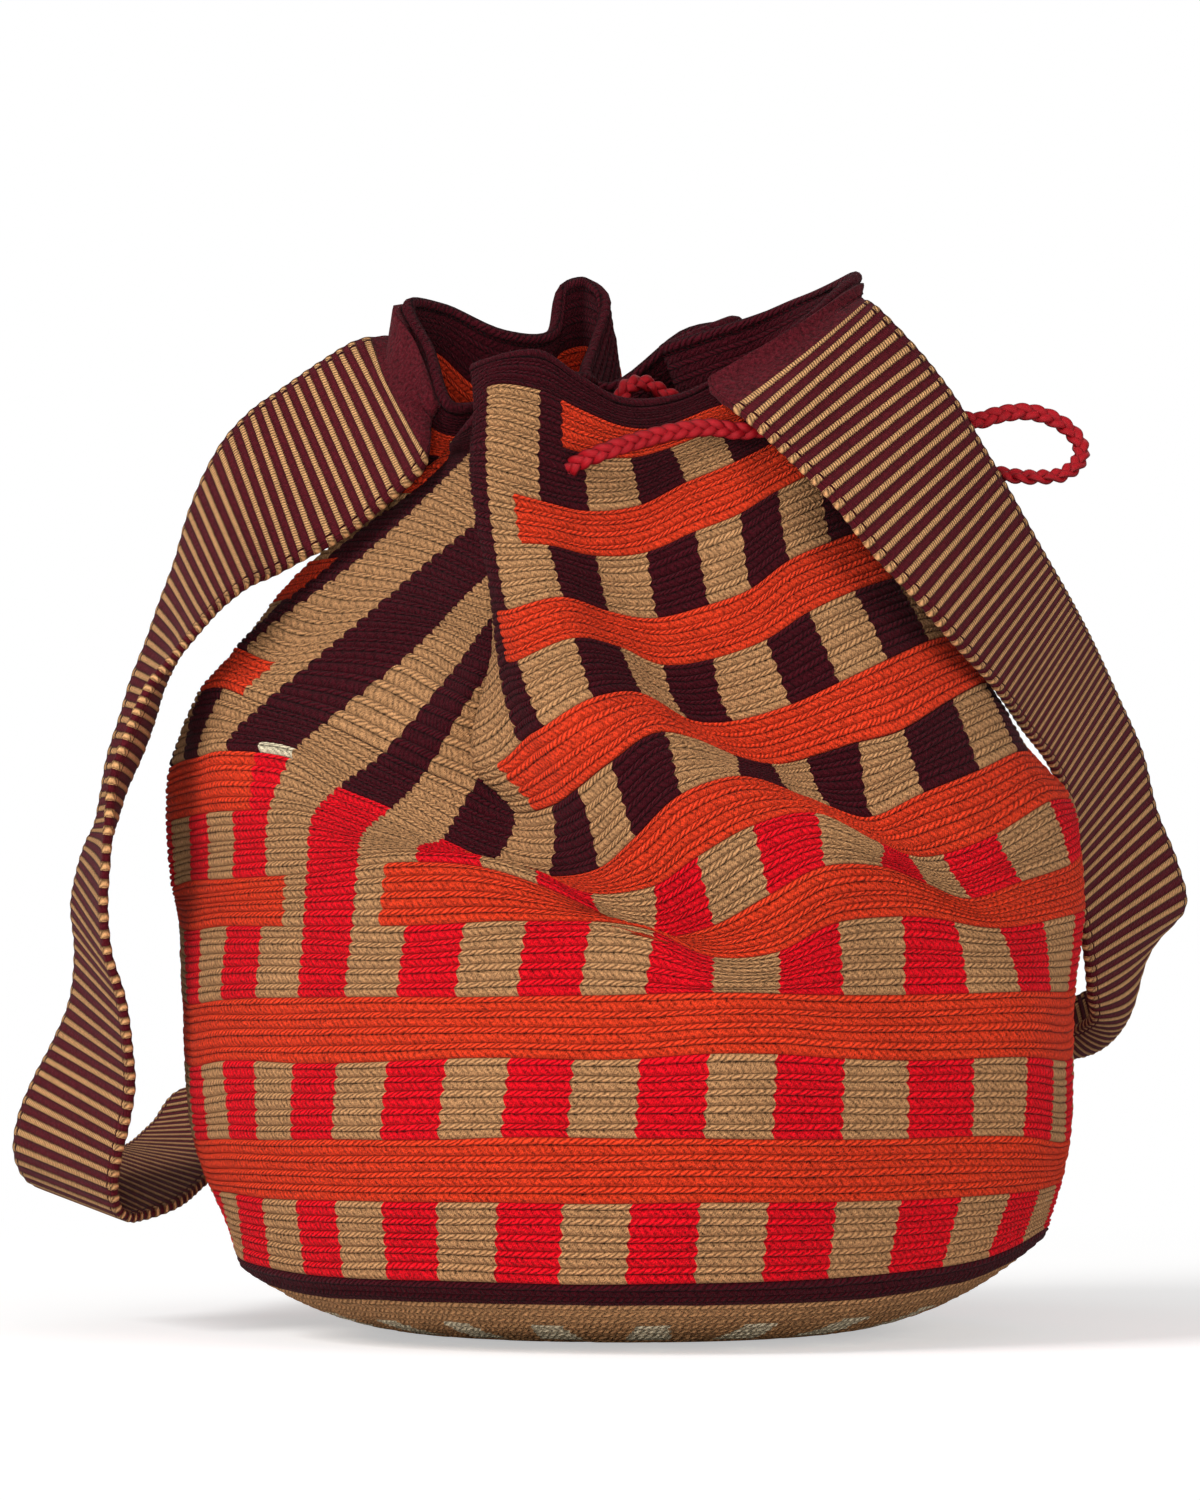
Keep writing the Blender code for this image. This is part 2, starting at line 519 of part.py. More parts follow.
def as_mesh(curve_object, collection):
    """A mesh object made from a curve object, its caps welded; the curve is removed."""
    graph = bpy.context.evaluated_depsgraph_get()
    mesh = bpy.data.meshes.new_from_object(curve_object.evaluated_get(graph))
    shape = bmesh.new()
    shape.from_mesh(mesh)
    bmesh.ops.remove_doubles(shape, verts=shape.verts, dist=WELD_DISTANCE)
    bmesh.ops.recalc_face_normals(shape, faces=shape.faces)
    shape.to_mesh(mesh)
    shape.free()
    made = new_object(curve_object.name + "_mesh", mesh, collection)
    made.matrix_world = curve_object.matrix_world
    bpy.data.objects.remove(curve_object)
    return made


def cut_cord_hole(body, index, cutters):
    """A round hole through the wall where the drawstring crosses it at one point of its route."""
    route = place(CORD_ROUTE)
    middle = route[index]
    along = route[index + 1] - route[index - 1]
    along *= HOLE_HALF_LENGTH / np.linalg.norm(along)
    radius = CORD_DIAMETER / 2 + CORD_HOLE_CLEARANCE
    tube = cord_curve(f"hole_{index}", [middle - along, middle, middle + along], radius, cutters)
    bpy.context.view_layer.update()
    cutter = as_mesh(tube, cutters)
    cutter.hide_render = True
    cutter.display_type = "WIRE"
    cut = body.modifiers.new(f"cord_hole_{index}", "BOOLEAN")
    cut.operation = "DIFFERENCE"
    cut.solver = "EXACT"
    cut.object = cutter


def make_drawstring(collection):
    cord = cord_curve("drawstring", cord_path(), CORD_DIAMETER / 2, collection)
    cord.data.materials.append(material("leather_red", LEATHER_RED, LEATHER_ROUGHNESS))
    return cord


def clear_scene():
    for old in list(bpy.data.objects):
        bpy.data.objects.remove(old, do_unlink=True)


def new_collection(name):
    made = bpy.data.collections.new(name)
    bpy.context.scene.collection.children.link(made)
    return made


def main():
    clear_scene()
    parts = new_collection("mochila_bag")
    cutters = new_collection("cutters")
    body = make_bag_body(parts)
    make_strap(parts)
    make_drawstring(parts)
    for index in CORD_CROSSINGS:
        cut_cord_hole(body, index, cutters)


main()
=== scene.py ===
"""Looks of a wayuu mochila bag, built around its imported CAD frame: a crocheted body whose soft mouth has
slumped into pleats, a broad woven strap and a braided leather drawstring. Metres, +Z up, the front faces
-Y. Tables of points are in millimetres, as in the part, and are turned into metres by place()."""

import math

import bpy
import numpy as np
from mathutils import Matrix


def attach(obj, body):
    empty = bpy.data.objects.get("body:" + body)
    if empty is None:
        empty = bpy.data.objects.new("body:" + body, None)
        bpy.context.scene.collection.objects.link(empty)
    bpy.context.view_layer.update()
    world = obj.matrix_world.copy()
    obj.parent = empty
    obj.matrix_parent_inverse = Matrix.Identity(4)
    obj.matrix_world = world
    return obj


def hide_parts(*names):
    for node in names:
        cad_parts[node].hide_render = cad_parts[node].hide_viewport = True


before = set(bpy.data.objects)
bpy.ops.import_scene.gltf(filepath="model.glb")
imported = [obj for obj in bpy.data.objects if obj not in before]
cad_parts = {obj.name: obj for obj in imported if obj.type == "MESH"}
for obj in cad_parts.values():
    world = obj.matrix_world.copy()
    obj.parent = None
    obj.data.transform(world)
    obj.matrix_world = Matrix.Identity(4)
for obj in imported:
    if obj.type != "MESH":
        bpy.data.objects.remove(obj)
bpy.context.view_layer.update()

MM = 0.001
FULL_TURN = 2 * math.pi

# Camera: level, straight at the front, with a long lens
CAMERA_PLACE = (-0.009, -3.0, 0.186)
CAMERA_LENS = 225
CAMERA_SENSOR = 36

# The bag
BAG_WIDTH = 0.290
BAG_HEIGHT = 0.338
DRAWN_WIDTH = 290
DRAWN_HEIGHT = 338
WALL_THICKNESS = 0.003
COLUMNS = 42
RIM_ROW = 76
BASE_EDGE_ROW = -14
BASE_CENTRE_ROW = -24.4
FLAT_DISC_RADIUS = 0.054
BASE_ROUNDING = 2.3
NORMAL_STEP = 0.05
# The lowest crochet rows are shorter than the drawn ones, so the ring round the base sits higher
CROCHET_ROWS = (-26, -14, 0, 13, 80)
DRAWN_ROWS = (-26, -14, 0.63, 13, 80)

# Crochet: each row is a wide lower ridge and a narrow upper one, and its stitches lean like "<"
LOWER_SHARE = 0.60
STITCHES_PER_COLUMN = 9
STITCH_GROUP = 6
BASE_SHRINK = 0.0406
FINE_COLUMNS = 252
FIRST_ROW = -24
SPLIT_ROW = 41
OUTER_STEPS = (0.0, 0.13, 0.38, 0.60, 0.70, 0.88)
INNER_STEPS = (0.0, 0.30, 0.60, 0.80)
BASE_STEPS = (0.0, 0.30, 0.60, 0.80)
DISC_STEPS = (0.0, 0.60)
HIDDEN_STEPS = (0.0,)
RIDGE_AT = (0.0, 0.13, 0.30, 0.38, 0.60, 0.70, 0.80, 0.88, 1.0)
RIDGE_HEIGHT = (0.0, 0.72, 0.90, 0.90, 0.40, 0.85, 1.0, 0.85, 0.0)
ROW_RELIEF = 1.0 * MM
ROW_DRIFT = 0.34 * MM
RIDGE_SWELL = 0.16
SMOOTH_STEP = 0.35
UNEVEN_SEED = 11
RIM_ROLL_RADIUS = 2.2 * MM
RIM_ROLL_RISE = 0.4 * MM
RIM_ROLL_TURNS = np.radians((-35, -5, 25, 55, 90, 125, 155, 185, 215))

# The pattern in rows and columns
BAND_PERIOD = 9
BAND_ROWS = 4
FIRST_BAND_ROW = 5
BURGUNDY_FROM_ROW = 36
RIM_FROM_ROW = 72
BASE_RING_ROW = -2
MOTIF_ROWS = (-9, -5)
MOTIF_TAPER = 0.06
WEDGE_MIDDLE = 0.5
CREAM_PATCH = (-1.5, -1.0)

# The strap
STRAP_WIDTH = 0.066
STRAP_THICKNESS = 0.003
STRAP_RAILS = 13
STRIPE_PERIOD = 0.0047
TAN_SHARE = 0.42
STRIPE_STEPS = (0.0, 0.07, 0.21, 0.35, 0.42, 0.71)
STRIPE_HEIGHT = (0.15, 0.80, 1.0, 0.80, 0.15, 0.55, 0.15)
STRIPE_RELIEF = 0.36 * MM
PLAIN_HEIGHT = 0.5
RIGHT_PLAIN_END = 0.0141
LEFT_PLAIN_END = 0.0222
EDGE_RADIUS = 1.7 * MM
EDGE_TURNS = np.radians((-60, -20, 20, 60))
EDGE_SWELL = 0.10
SEAM_CLEARANCE = 0.9 * MM
RIGHT_SEAM = (10.2, 13.4)
LEFT_SEAM = (32.5, 29.4)
SEAM_ROWS = (76.0, 74.4)

# The drawstring: three flat leather strands braided round the cord's path
CORD_SAMPLES = 1500
STRANDS = 3
BRAID_TURN = 0.0141
BRAID_SWING = 1.42 * MM
BRAID_DEPTH = 0.86 * MM
BRAID_SPACING = 0.55 * MM
STRAND_HALF_WIDTH = 1.50 * MM
STRAND_HALF_THICKNESS = 0.78 * MM
STRAND_SIDES = 12

# Names of the UV maps
GRID_MAP = "grid"
STITCH_MAP = "stitch"
STRAP_MAP = "strap"
STRAND_MAP = "strand"

# Colours of the yarn and the leather at the crown of a stitch, linear; the materials paint shade over them away from
# the crown
TAN = (0.505, 0.255, 0.110)
RED = (0.780, 0.004, 0.013)
ORANGE = (0.740, 0.046, 0.013)
BURGUNDY = (0.052, 0.003, 0.007)
CREAM = (0.760, 0.650, 0.450)
STRAP_TAN = (0.620, 0.325, 0.138)
STRAP_BURGUNDY = (0.105, 0.008, 0.014)
LEATHER_RED = (0.340, 0.004, 0.009)
LEATHER_WORN = (0.480, 0.018, 0.028)

# Light and floor
WORLD_LEVEL = 0.34
WORLD_COLOUR = (1.0, 0.985, 0.97)
FLOOR_SIZE = 30
FLOOR_DROP = 0.4 * MM
FLOOR_WHITE = 0.80
FLOOR_GLOW = 0.46
FLOOR_FADE = (0.32, 0.75)
LIGHT_TARGET = (0, 0, 0.18)
# Rings of the outer surface: for each crochet row, (column, x, y, z)
RINGS = {
    0: [
        (-4, -124, -4, 26), (-2, -121, -38, 22), (0, -101, -76, 19), (2, -75, -101, 19),
        (4, -42, -118, 19), (6, -2, -126, 19), (8, 40, -119, 19), (10, 79, -97, 20), (12, 111, -63, 24),
        (14, 131, -22, 31), (17, 127, 30, 29), (20, 104, 76, 22), (23, 62, 108, 21), (26, 12, 123, 21),
        (29, -40, 117, 21), (32, -85, 90, 22), (35, -115, 48, 24)
    ],
    9: [
        (-4, -137, -22, 61), (-2, -125, -62, 63), (0, -105, -92, 64), (2, -77, -116, 65),
        (4, -40, -133, 66), (6, 1, -139, 66), (8, 43, -134, 66), (10, 85, -112, 65), (12, 122, -80, 64),
        (14, 137, -45, 62), (17, 138, 12, 67), (20, 120, 70, 67), (23, 76, 116, 67), (26, 16, 137, 67),
        (29, -46, 128, 67), (32, -100, 94, 67), (35, -133, 40, 67)
    ],
    18: [
        (-4, -140, -22, 106), (-2, -128, -60, 108), (0, -103, -96, 109), (2, -72, -122, 110),
        (4, -35, -136, 111), (6, 4, -141, 111), (8, 45, -137, 111), (10, 84, -118, 111),
        (12, 121, -92, 111), (14, 138, -48, 110), (17, 140, 8, 113), (20, 124, 70, 113),
        (23, 80, 118, 113), (26, 20, 140, 113), (29, -44, 132, 113), (32, -100, 98, 112),
        (35, -138, 44, 111)
    ],
    23: [
        (-4, -141, -20, 129), (-2, -126, -62, 131), (0, -101, -99, 132), (2, -69, -125, 132),
        (4, -32, -138, 134), (6, 7, -140, 131), (7, 25, -139, 123), (8, 45, -139, 124),
        (9, 63, -135, 133), (10, 83, -121, 135), (12, 114, -95, 131), (14, 140, -52, 134),
        (17, 141, 4, 138), (20, 128, 66, 139), (23, 84, 116, 140), (26, 24, 138, 140),
        (29, -40, 130, 139), (32, -98, 98, 138), (35, -138, 42, 136)
    ],
    27: [
        (-4, -139, -28, 144), (-2, -124, -68, 146), (0, -100, -101, 148), (2, -66, -128, 152),
        (3, -46, -136, 151), (4, -29, -140, 146), (5, -10, -139, 137), (6, 7, -138, 129),
        (7, 25, -140, 132), (8, 42, -141, 141), (9, 59, -137, 150), (10, 77, -127, 150),
        (11, 91, -118, 145), (12, 105, -108, 140), (13, 121, -92, 145), (14, 138, -60, 150),
        (16, 141, -22, 158), (19, 131, 42, 160), (22, 99, 100, 162), (25, 44, 132, 162),
        (28, -20, 132, 161), (31, -82, 106, 159), (34, -124, 58, 157), (36, -145, 4, 143)
    ],
    32: [
        (-4, -139, -34, 165), (-2, -124, -71, 167), (0, -98, -100, 166), (1, -82, -113, 161),
        (2, -64, -124, 157), (3, -47, -131, 153), (4, -29, -137, 149), (5, -12, -141, 142),
        (6, 7, -146, 144), (7, 20, -147, 153), (8, 37, -142, 163), (9, 56, -132, 167),
        (10, 76, -122, 158), (11, 85, -116, 154), (12, 96, -108, 154), (13, 113, -94, 160),
        (14, 131, -68, 170), (15, 139, -40, 171), (17, 131, 2, 177), (20, 122, 62, 180),
        (23, 78, 106, 181), (26, 20, 122, 180), (29, -42, 116, 179), (32, -98, 82, 177),
        (34, -126, 46, 176), (36, -147, 2, 164)
    ],
    36: [
        (-4, -141, -28, 183), (-3, -136, -44, 184), (-2, -127, -58, 186), (-1, -106, -76, 184),
        (0, -90, -96, 175), (1, -74, -110, 168), (2, -58, -120, 159), (3, -42, -127, 152),
        (4, -25, -133, 148), (5, -10, -142, 150), (6, 1, -148, 159), (7, 15, -146, 172),
        (8, 33, -136, 178), (9, 48, -124, 174), (10, 61, -116, 169), (11, 74, -111, 166),
        (12, 90, -104, 173), (13, 108, -90, 180), (14, 121, -68, 186), (15, 126, -44, 186),
        (17, 117, 2, 193), (20, 104, 56, 197), (23, 66, 92, 198), (26, 14, 104, 198),
        (29, -42, 98, 196), (32, -92, 70, 194), (34, -120, 38, 192), (36, -145, 0, 181)
    ],
    41: [
        (-5, -136, -12, 205), (-4, -135, -28, 205), (-3, -128, -38, 206), (-2, -115, -50, 201),
        (-1, -95, -72, 195), (0, -76, -90, 186), (1, -63, -98, 180), (2, -49, -104, 174),
        (3, -36, -112, 167), (4, -24, -132, 169), (5, -16, -141, 174), (6, -6, -143, 182),
        (7, 10, -136, 192), (8, 31, -118, 185), (9, 43, -111, 182), (10, 54, -108, 184),
        (11, 70, -108, 189), (12, 84, -103, 193), (13, 100, -86, 202), (14, 111, -64, 207),
        (15, 114, -40, 206), (17, 106, -4, 212), (19, 98, 36, 215), (21, 76, 66, 217),
        (23, 48, 80, 217), (26, 4, 84, 217), (29, -42, 80, 214), (32, -84, 58, 210),
        (34, -112, 32, 208)
    ],
    45: [
        (-5, -125, 0, 218), (-4, -124, -12, 218), (-3, -122, -22, 218), (-2.5, -112, -32, 214),
        (-2, -99, -44, 215), (-1, -73, -64, 213), (0, -59, -80, 206), (1, -50, -90, 202),
        (2.2, -34, -84, 193), (3, -48, -98, 180), (3.7, -38, -116, 184), (4, -34, -122, 188),
        (5, -27, -132, 193), (6, -12, -134, 202), (7, 3, -124, 204), (8, 17, -112, 196),
        (9, 31, -107, 195), (10, 49, -107, 200), (11, 64, -105, 207), (12, 79, -97, 214),
        (13, 93, -80, 220), (14, 101, -58, 222), (15.5, 94, -26, 224), (17, 88, 4, 230),
        (18.5, 74, 30, 233), (20, 66, 40, 234), (21.5, 52, 56, 235), (23, 34, 60, 236),
        (25, 10, 72, 236), (27, -16, 66, 235), (29, -40, 72, 233), (31, -66, 56, 230),
        (33, -92, 42, 227), (35, -112, 18, 224)
    ],
    54: [
        (-5, -101, 4, 246), (-4, -97, -4, 247), (-3, -86, -14, 247), (-2, -67, -36, 243),
        (-1, -50, -56, 236), (0.2, -36, -64, 232), (1.4, -18, -66, 225), (2.2, -20, -76, 222),
        (3.4, -40, -92, 226), (4.5, -41, -112, 229), (5, -38, -118, 229), (6, -21, -120, 233),
        (7, -7, -108, 229), (8, 8, -101, 227), (9, 24, -101, 231), (10, 37, -101, 236),
        (11, 49, -97, 245), (12, 62, -86, 251), (13, 75, -68, 256), (14, 82, -46, 258),
        (15.5, 72, -18, 262), (17, 54, 8, 260), (18.2, 58, 26, 259), (19.5, 48, 38, 258),
        (21, 26, 34, 258), (22.5, 8, 44, 257), (23.5, 2, 60, 258), (24.8, -10, 68, 258),
        (26, -24, 60, 257), (27.4, -38, 48, 256), (29, -58, 50, 256), (30.5, -76, 44, 256),
        (32, -88, 30, 256), (33.4, -76, 16, 251), (34.6, -68, 8, 248), (35.8, -78, 2, 247)
    ],
    63: [
        (-4.8, -48, -8, 284), (-4, -60, -4, 276), (-3, -55, -20, 276), (-1.8, -36, -34, 266),
        (-0.4, -14, -46, 257), (0.8, 2, -58, 252), (1.8, 0, -68, 250), (3, -20, -82, 254),
        (4, -42, -97, 265), (4.6, -49, -106, 268), (5, -44, -111, 267), (6, -28, -108, 263),
        (7, -13, -101, 260), (8, 3, -95, 262), (9, 17, -93, 269), (10, 32, -91, 275),
        (11, 44, -84, 281), (12, 58, -75, 289), (13, 68, -61, 296), (14.2, 74, -36, 303),
        (15.4, 54, -4, 288), (16.6, 32, 10, 280), (17.6, 26, 18, 277), (18.8, 44, 28, 280),
        (19.8, 42, 38, 279), (21, 22, 36, 276), (22.2, 4, 26, 270), (23, -2, 34, 272), (24, 0, 52, 280),
        (25, -12, 64, 284), (26, -24, 56, 281), (27, -32, 50, 274), (28, -48, 44, 274),
        (29.4, -69, 38, 280), (31, -82, 19, 278), (32.6, -73, 4, 272), (34, -50, 1, 272),
        (35.4, -30, -6, 280), (36.4, -34, -12, 282)
    ],
    72: [
        (-4.8, -38, -12, 298), (-4, -56, -18, 284), (-3.3, -52, -28, 284), (-2, -32, -38, 290),
        (-0.4, -8, -48, 279), (0.8, 6, -58, 275), (1.8, 2, -68, 275), (3, -20, -80, 281),
        (4, -42, -92, 291), (4.6, -48, -99, 294), (5, -44, -104, 298), (6, -28, -104, 297),
        (7, -15, -99, 291), (8, -2, -94, 286), (9, 10, -90, 286), (10, 23, -86, 291),
        (11, 37, -81, 297), (12, 53, -72, 308), (13, 67, -57, 320), (14.2, 72, -26, 326),
        (15.4, 50, 6, 310), (16.6, 28, 14, 301), (17.6, 20, 20, 298), (18.8, 38, 30, 305),
        (19.8, 38, 40, 304), (21, 16, 36, 300), (22, 2, 22, 286), (22.8, -4, 24, 290),
        (23.6, -2, 40, 300), (24.4, -4, 56, 314), (25.2, -14, 66, 318), (26, -24, 58, 315),
        (27, -30, 50, 302), (28, -46, 42, 302), (29.4, -64, 35, 315), (30.4, -74, 21, 313),
        (31.6, -71, 5, 301), (32.8, -59, -5, 287), (34, -36, 0, 289), (35.2, -14, -8, 294),
        (36.2, -18, -16, 296)
    ],
    76: [
        (-4.8, -38, -12, 304), (-4, -54, -20, 286), (-3.3, -52, -29, 287), (-2, -32, -38, 302),
        (-0.4, -8, -48, 292), (0.8, 6, -58, 288), (1.8, 2, -68, 288), (3, -20, -78, 293),
        (4, -42, -86, 304), (4.6, -49, -92, 304), (5, -44, -97, 306), (6, -28, -100, 308),
        (7, -16, -96, 301), (8, -3, -91, 294), (9, 10, -86, 294), (10, 22, -80, 298),
        (11, 38, -75, 308), (12, 54, -67, 319), (13, 67, -53, 330), (14, 73, -30, 335),
        (15, 58, 6, 329), (16.4, 31, 14, 320), (17.6, 13, 20, 315), (18.8, 34, 30, 324),
        (19.8, 36, 40, 323), (21, 16, 36, 319), (22, -5, 24, 302), (22.6, -12, 28, 307),
        (23.4, -10, 42, 317), (24.2, -6, 56, 332), (25, -13, 66, 338), (25.8, -22, 62, 336),
        (27, -27, 50, 320), (28, -41, 42, 320), (29.2, -60, 36, 328), (30.2, -72, 22, 329),
        (31.4, -65, 6, 314), (32.6, -58, -8, 295), (34, -36, 0, 298), (35.2, -14, -8, 302),
        (36.2, -18, -16, 304)
    ],
}

# Stations of the strap, from the right seam to the left one: a point near its inner edge, a point near
# its outer edge, and how far its middle bows out of line. Its true width comes from STRAP_WIDTH.
STRAP_STATIONS = [
    (36, -98, 288, 78, -62, 325, 0),
    (50, -101, 274, 94, -62, 309, 0),
    (62, -102, 262, 103, -60, 297, 0),
    (74, -101, 246, 112, -55, 283, 0),
    (87, -98, 232, 120, -48, 270, 0),
    (100, -90, 219, 129, -38, 253, 0),
    (113, -72, 206, 138, -18, 239, 0),
    (124, -44, 194, 146, 8, 225, 0),
    (138, -7, 176, 158, 46, 203, 0),
    (143, 13, 158, 167, 64, 184, 0),
    (144, 24, 141, 173, 76, 165, 0),
    (147, 31, 128, 180, 83, 149, 0),
    (149, 37, 117, 183, 89, 135, 0),
    (150, 43, 107, 174, 101, 124, -3),
    (151, 52, 100, 166, 113, 114, -8),
    (149, 65, 97, 158, 127, 108, -12),
    (145, 80, 95, 154, 142, 105, -14),
    (120, 110, 98, 124, 172, 86, -10),
    (76, 140, 106, 80, 184, 60, -4),
    (18, 154, 110, 20, 182, 52, 0),
    (-38, 149, 106, -48, 181, 52, 0),
    (-80, 132, 96, -104, 178, 58, 0),
    (-105, 112, 85, -147, 158, 71, 0),
    (-119, 84, 66, -159, 136, 60, 0),
    (-129, 58, 54, -166, 112, 54, 0),
    (-137, 33, 46, -172, 88, 53, 0),
    (-145, 8, 40, -177, 64, 50, 0),
    (-154, -8, 37, -186, 50, 48, 0),
    (-158, -18, 37, -192, 40, 46, 0),
    (-161, -25, 40, -196, 32, 50, 0),
    (-162, -30, 47, -198, 26, 58, 0),
    (-161, -32, 56, -196, 24, 69, 0),
    (-159, -34, 66, -191, 22, 80, 0),
    (-157, -36, 79, -185, 22, 91, 0),
    (-158, -39, 92, -179, 20, 104, 0),
    (-160, -43, 108, -177, 18, 122, 0),
    (-164, -47, 122, -178, 15, 136, 0),
    (-165, -52, 137, -176, 12, 147, 0),
    (-164, -57, 152, -173, 8, 156, 1),
    (-163, -62, 165, -170, 4, 162, 3),
    (-162, -63, 177, -168, 2, 172, 5),
    (-158, -63, 189, -166, 2, 184, 7),
    (-154, -61, 199, -162, 4, 197, 7),
    (-150, -58, 207, -159, 8, 208, 6),
    (-144, -53, 214, -154, 12, 221, 4),
    (-139, -48, 220, -150, 16, 233, 2),
    (-133, -42, 227, -145, 20, 247, 0),
    (-127, -35, 233, -141, 23, 262, 0),
    (-120, -29, 238, -136, 24, 275, 0),
    (-113, -22, 241, -130, 24, 286, 0),
    (-104, -17, 246, -122, 24, 295, 0),
    (-90, -16, 253, -112, 24, 303, 0),
    (-76, -18, 264, -99, 24, 312, 0),
    (-65, -22, 275, -88, 24, 318, 0),
]

# Route of the drawstring: from inside the neck out through the front wall, up along the outside and under
# the strap, out to the free loop at the right, back in through the wall, and across the mouth
CORD_ROUTE = [
    (-33, -107, 243), (-31, -103, 252), (-28, -98, 260), (-23, -96, 267), (-17, -103, 274), (-8, -106, 278),
    (4, -101, 282), (16, -96, 285), (26, -93, 286), (34, -90, 285), (42, -87, 286), (56, -83, 290),
    (69, -70, 297), (83, -52, 297), (97, -42, 294), (110, -38, 290), (117, -36, 292), (126, -34, 293), (134, -32, 291),
    (140, -32, 287), (143, -35, 282), (142, -40, 277), (137, -44, 273), (129, -46, 272), (118, -43, 273),
    (106, -38, 277), (95, -34, 284), (85, -31, 293), (77, -30, 299), (70, -30, 303), (62, -30, 305),
    (50, -31, 302), (37, -32, 297), (24, -33, 295), (13, -34, 298), (5, -37, 302), (-1, -42, 300),
    (-3, -44, 292),
]


def place(points):
    """Millimetres as drawn, turned into metres on a bag of the stated width and height."""
    scale = np.array([BAG_WIDTH / DRAWN_WIDTH, BAG_WIDTH / DRAWN_WIDTH, BAG_HEIGHT / DRAWN_HEIGHT])
    return np.asarray(points, float) * scale


def spline(knots, values, at):
    """Smooth curve through values at the knots, with the slope at each knot read from its neighbours."""
    step = np.diff(knots)[:, None]
    rise = np.diff(values, axis=0) / step
    slope = np.empty_like(values)
    slope[1:-1] = (step[1:] * rise[:-1] + step[:-1] * rise[1:]) / (step[:-1] + step[1:])
    slope[0] = rise[0]
    slope[-1] = rise[-1]
    i = np.clip(np.searchsorted(knots, at, "right") - 1, 0, len(knots) - 2)
    t = ((at - knots[i]) / (knots[i + 1] - knots[i]))[:, None]
    h = step[i]
    start = (2 * t**3 - 3 * t**2 + 1) * values[i] + (t**3 - 2 * t**2 + t) * h * slope[i]
    end = (3 * t**2 - 2 * t**3) * values[i + 1] + (t**3 - t**2) * h * slope[i + 1]
    return start + end


def walk(points):
    """Distance walked along points, from 0 at the first."""
    return np.concatenate([[0], np.cumsum(np.linalg.norm(np.diff(points, axis=0), axis=1))])


def unit(vectors):
    return vectors / np.linalg.norm(vectors, axis=-1, keepdims=True)


def ring(row, columns):
    """Points of one drawn ring at the given columns."""
    table = np.array(RINGS[row], float)
    knots = table[:, 0]
    points = table[:, 1:]
    knots = np.concatenate([knots[-2:] - COLUMNS, knots, knots[:3] + COLUMNS])
    points = np.concatenate([points[-2:], points, points[:3]])
    first = table[0, 0]
    return place(spline(knots, points, (columns - first) % COLUMNS + first))


def wall(columns, rows):
    """Outer surface of the bag's wall, as an array [row, column, xyz]."""
    drawn = sorted(RINGS)
    rings = np.array([ring(row, columns) for row in drawn])
    flat = spline(np.array(drawn, float), rings.reshape(len(drawn), -1), np.asarray(rows, float))
    return flat.reshape(len(rows), len(columns), 3)


def wall_point(column, row, out=0.0):
    """A point that stands `out` off the wall's outer surface."""
    near = np.array([-NORMAL_STEP, 0, NORMAL_STEP])
    patch = wall(column + near, row + near)
    normal = np.cross(patch[1, 2] - patch[1, 0], patch[2, 1] - patch[0, 1])
    return patch[1, 1] + out * normal / np.linalg.norm(normal)


def base(columns, rows):
    """Rings of the rounded base and of the flat disc in its middle, for rows below the wall's first."""
    edge = wall(columns, [0.0])[0]
    middle = edge.mean(axis=0) * (1, 1, 0)
    outward = (edge - middle) * (1, 1, 0)
    disc = middle + FLAT_DISC_RADIUS * outward / np.linalg.norm(outward, axis=1)[:, None]
    rings = []
    for row in rows:
        inward = min(row / BASE_EDGE_ROW, 1.0)
        points = edge * (1 - inward) + disc * inward
        points[:, 2] = edge[:, 2] * (1 - inward) ** BASE_ROUNDING
        beyond = max(row / BASE_EDGE_ROW - 1, 0) / (BASE_CENTRE_ROW / BASE_EDGE_ROW - 1)
        rings.append(points * (1 - beyond) + middle * beyond)
    return np.array(rings)


def skin(columns, rows):
    """Outer surface of the whole body, base and wall."""
    rows = np.interp(rows, CROCHET_ROWS, DRAWN_ROWS)
    below = rows < 0
    parts = []
    if below.any():
        parts.append(base(columns, rows[below]))
    if not below.all():
        parts.append(wall(columns, rows[~below]))
    return np.concatenate(parts)


def skin_with_normals(columns, rows):
    """Points of the outer surface, its outward normals, and its unit directions up the rows."""
    rows = np.asarray(rows, float)
    points = skin(columns, rows)
    around = np.roll(points, -1, axis=1) - np.roll(points, 1, axis=1)
    up = skin(columns, rows + SMOOTH_STEP) - skin(columns, rows - SMOOTH_STEP)
    return points, unit(np.cross(around, up)), unit(up)


def row_steps(first, last, steps):
    """Row values from first to last, with the given steps inside each row."""
    return [row + step for row in range(first, last) for step in steps]


def relief(rows):
    """Height of the crochet's ridges at each row value, from 0 in a groove to 1."""
    rows = np.asarray(rows, float)
    return np.interp(rows - np.floor(rows), RIDGE_AT, RIDGE_HEIGHT)


def row_noise(seed, spread):
    """One smooth line of noise round each crochet row, with unit spread."""
    count = RIM_ROW - FIRST_ROW + 3
    noise = np.random.default_rng(seed).normal(size=(count, FINE_COLUMNS))
    wave = np.fft.rfftfreq(FINE_COLUMNS)
    soft = np.fft.irfft(np.fft.rfft(noise) * np.exp(-2 * (math.pi * wave * spread) ** 2), FINE_COLUMNS)
    return soft / soft.std()


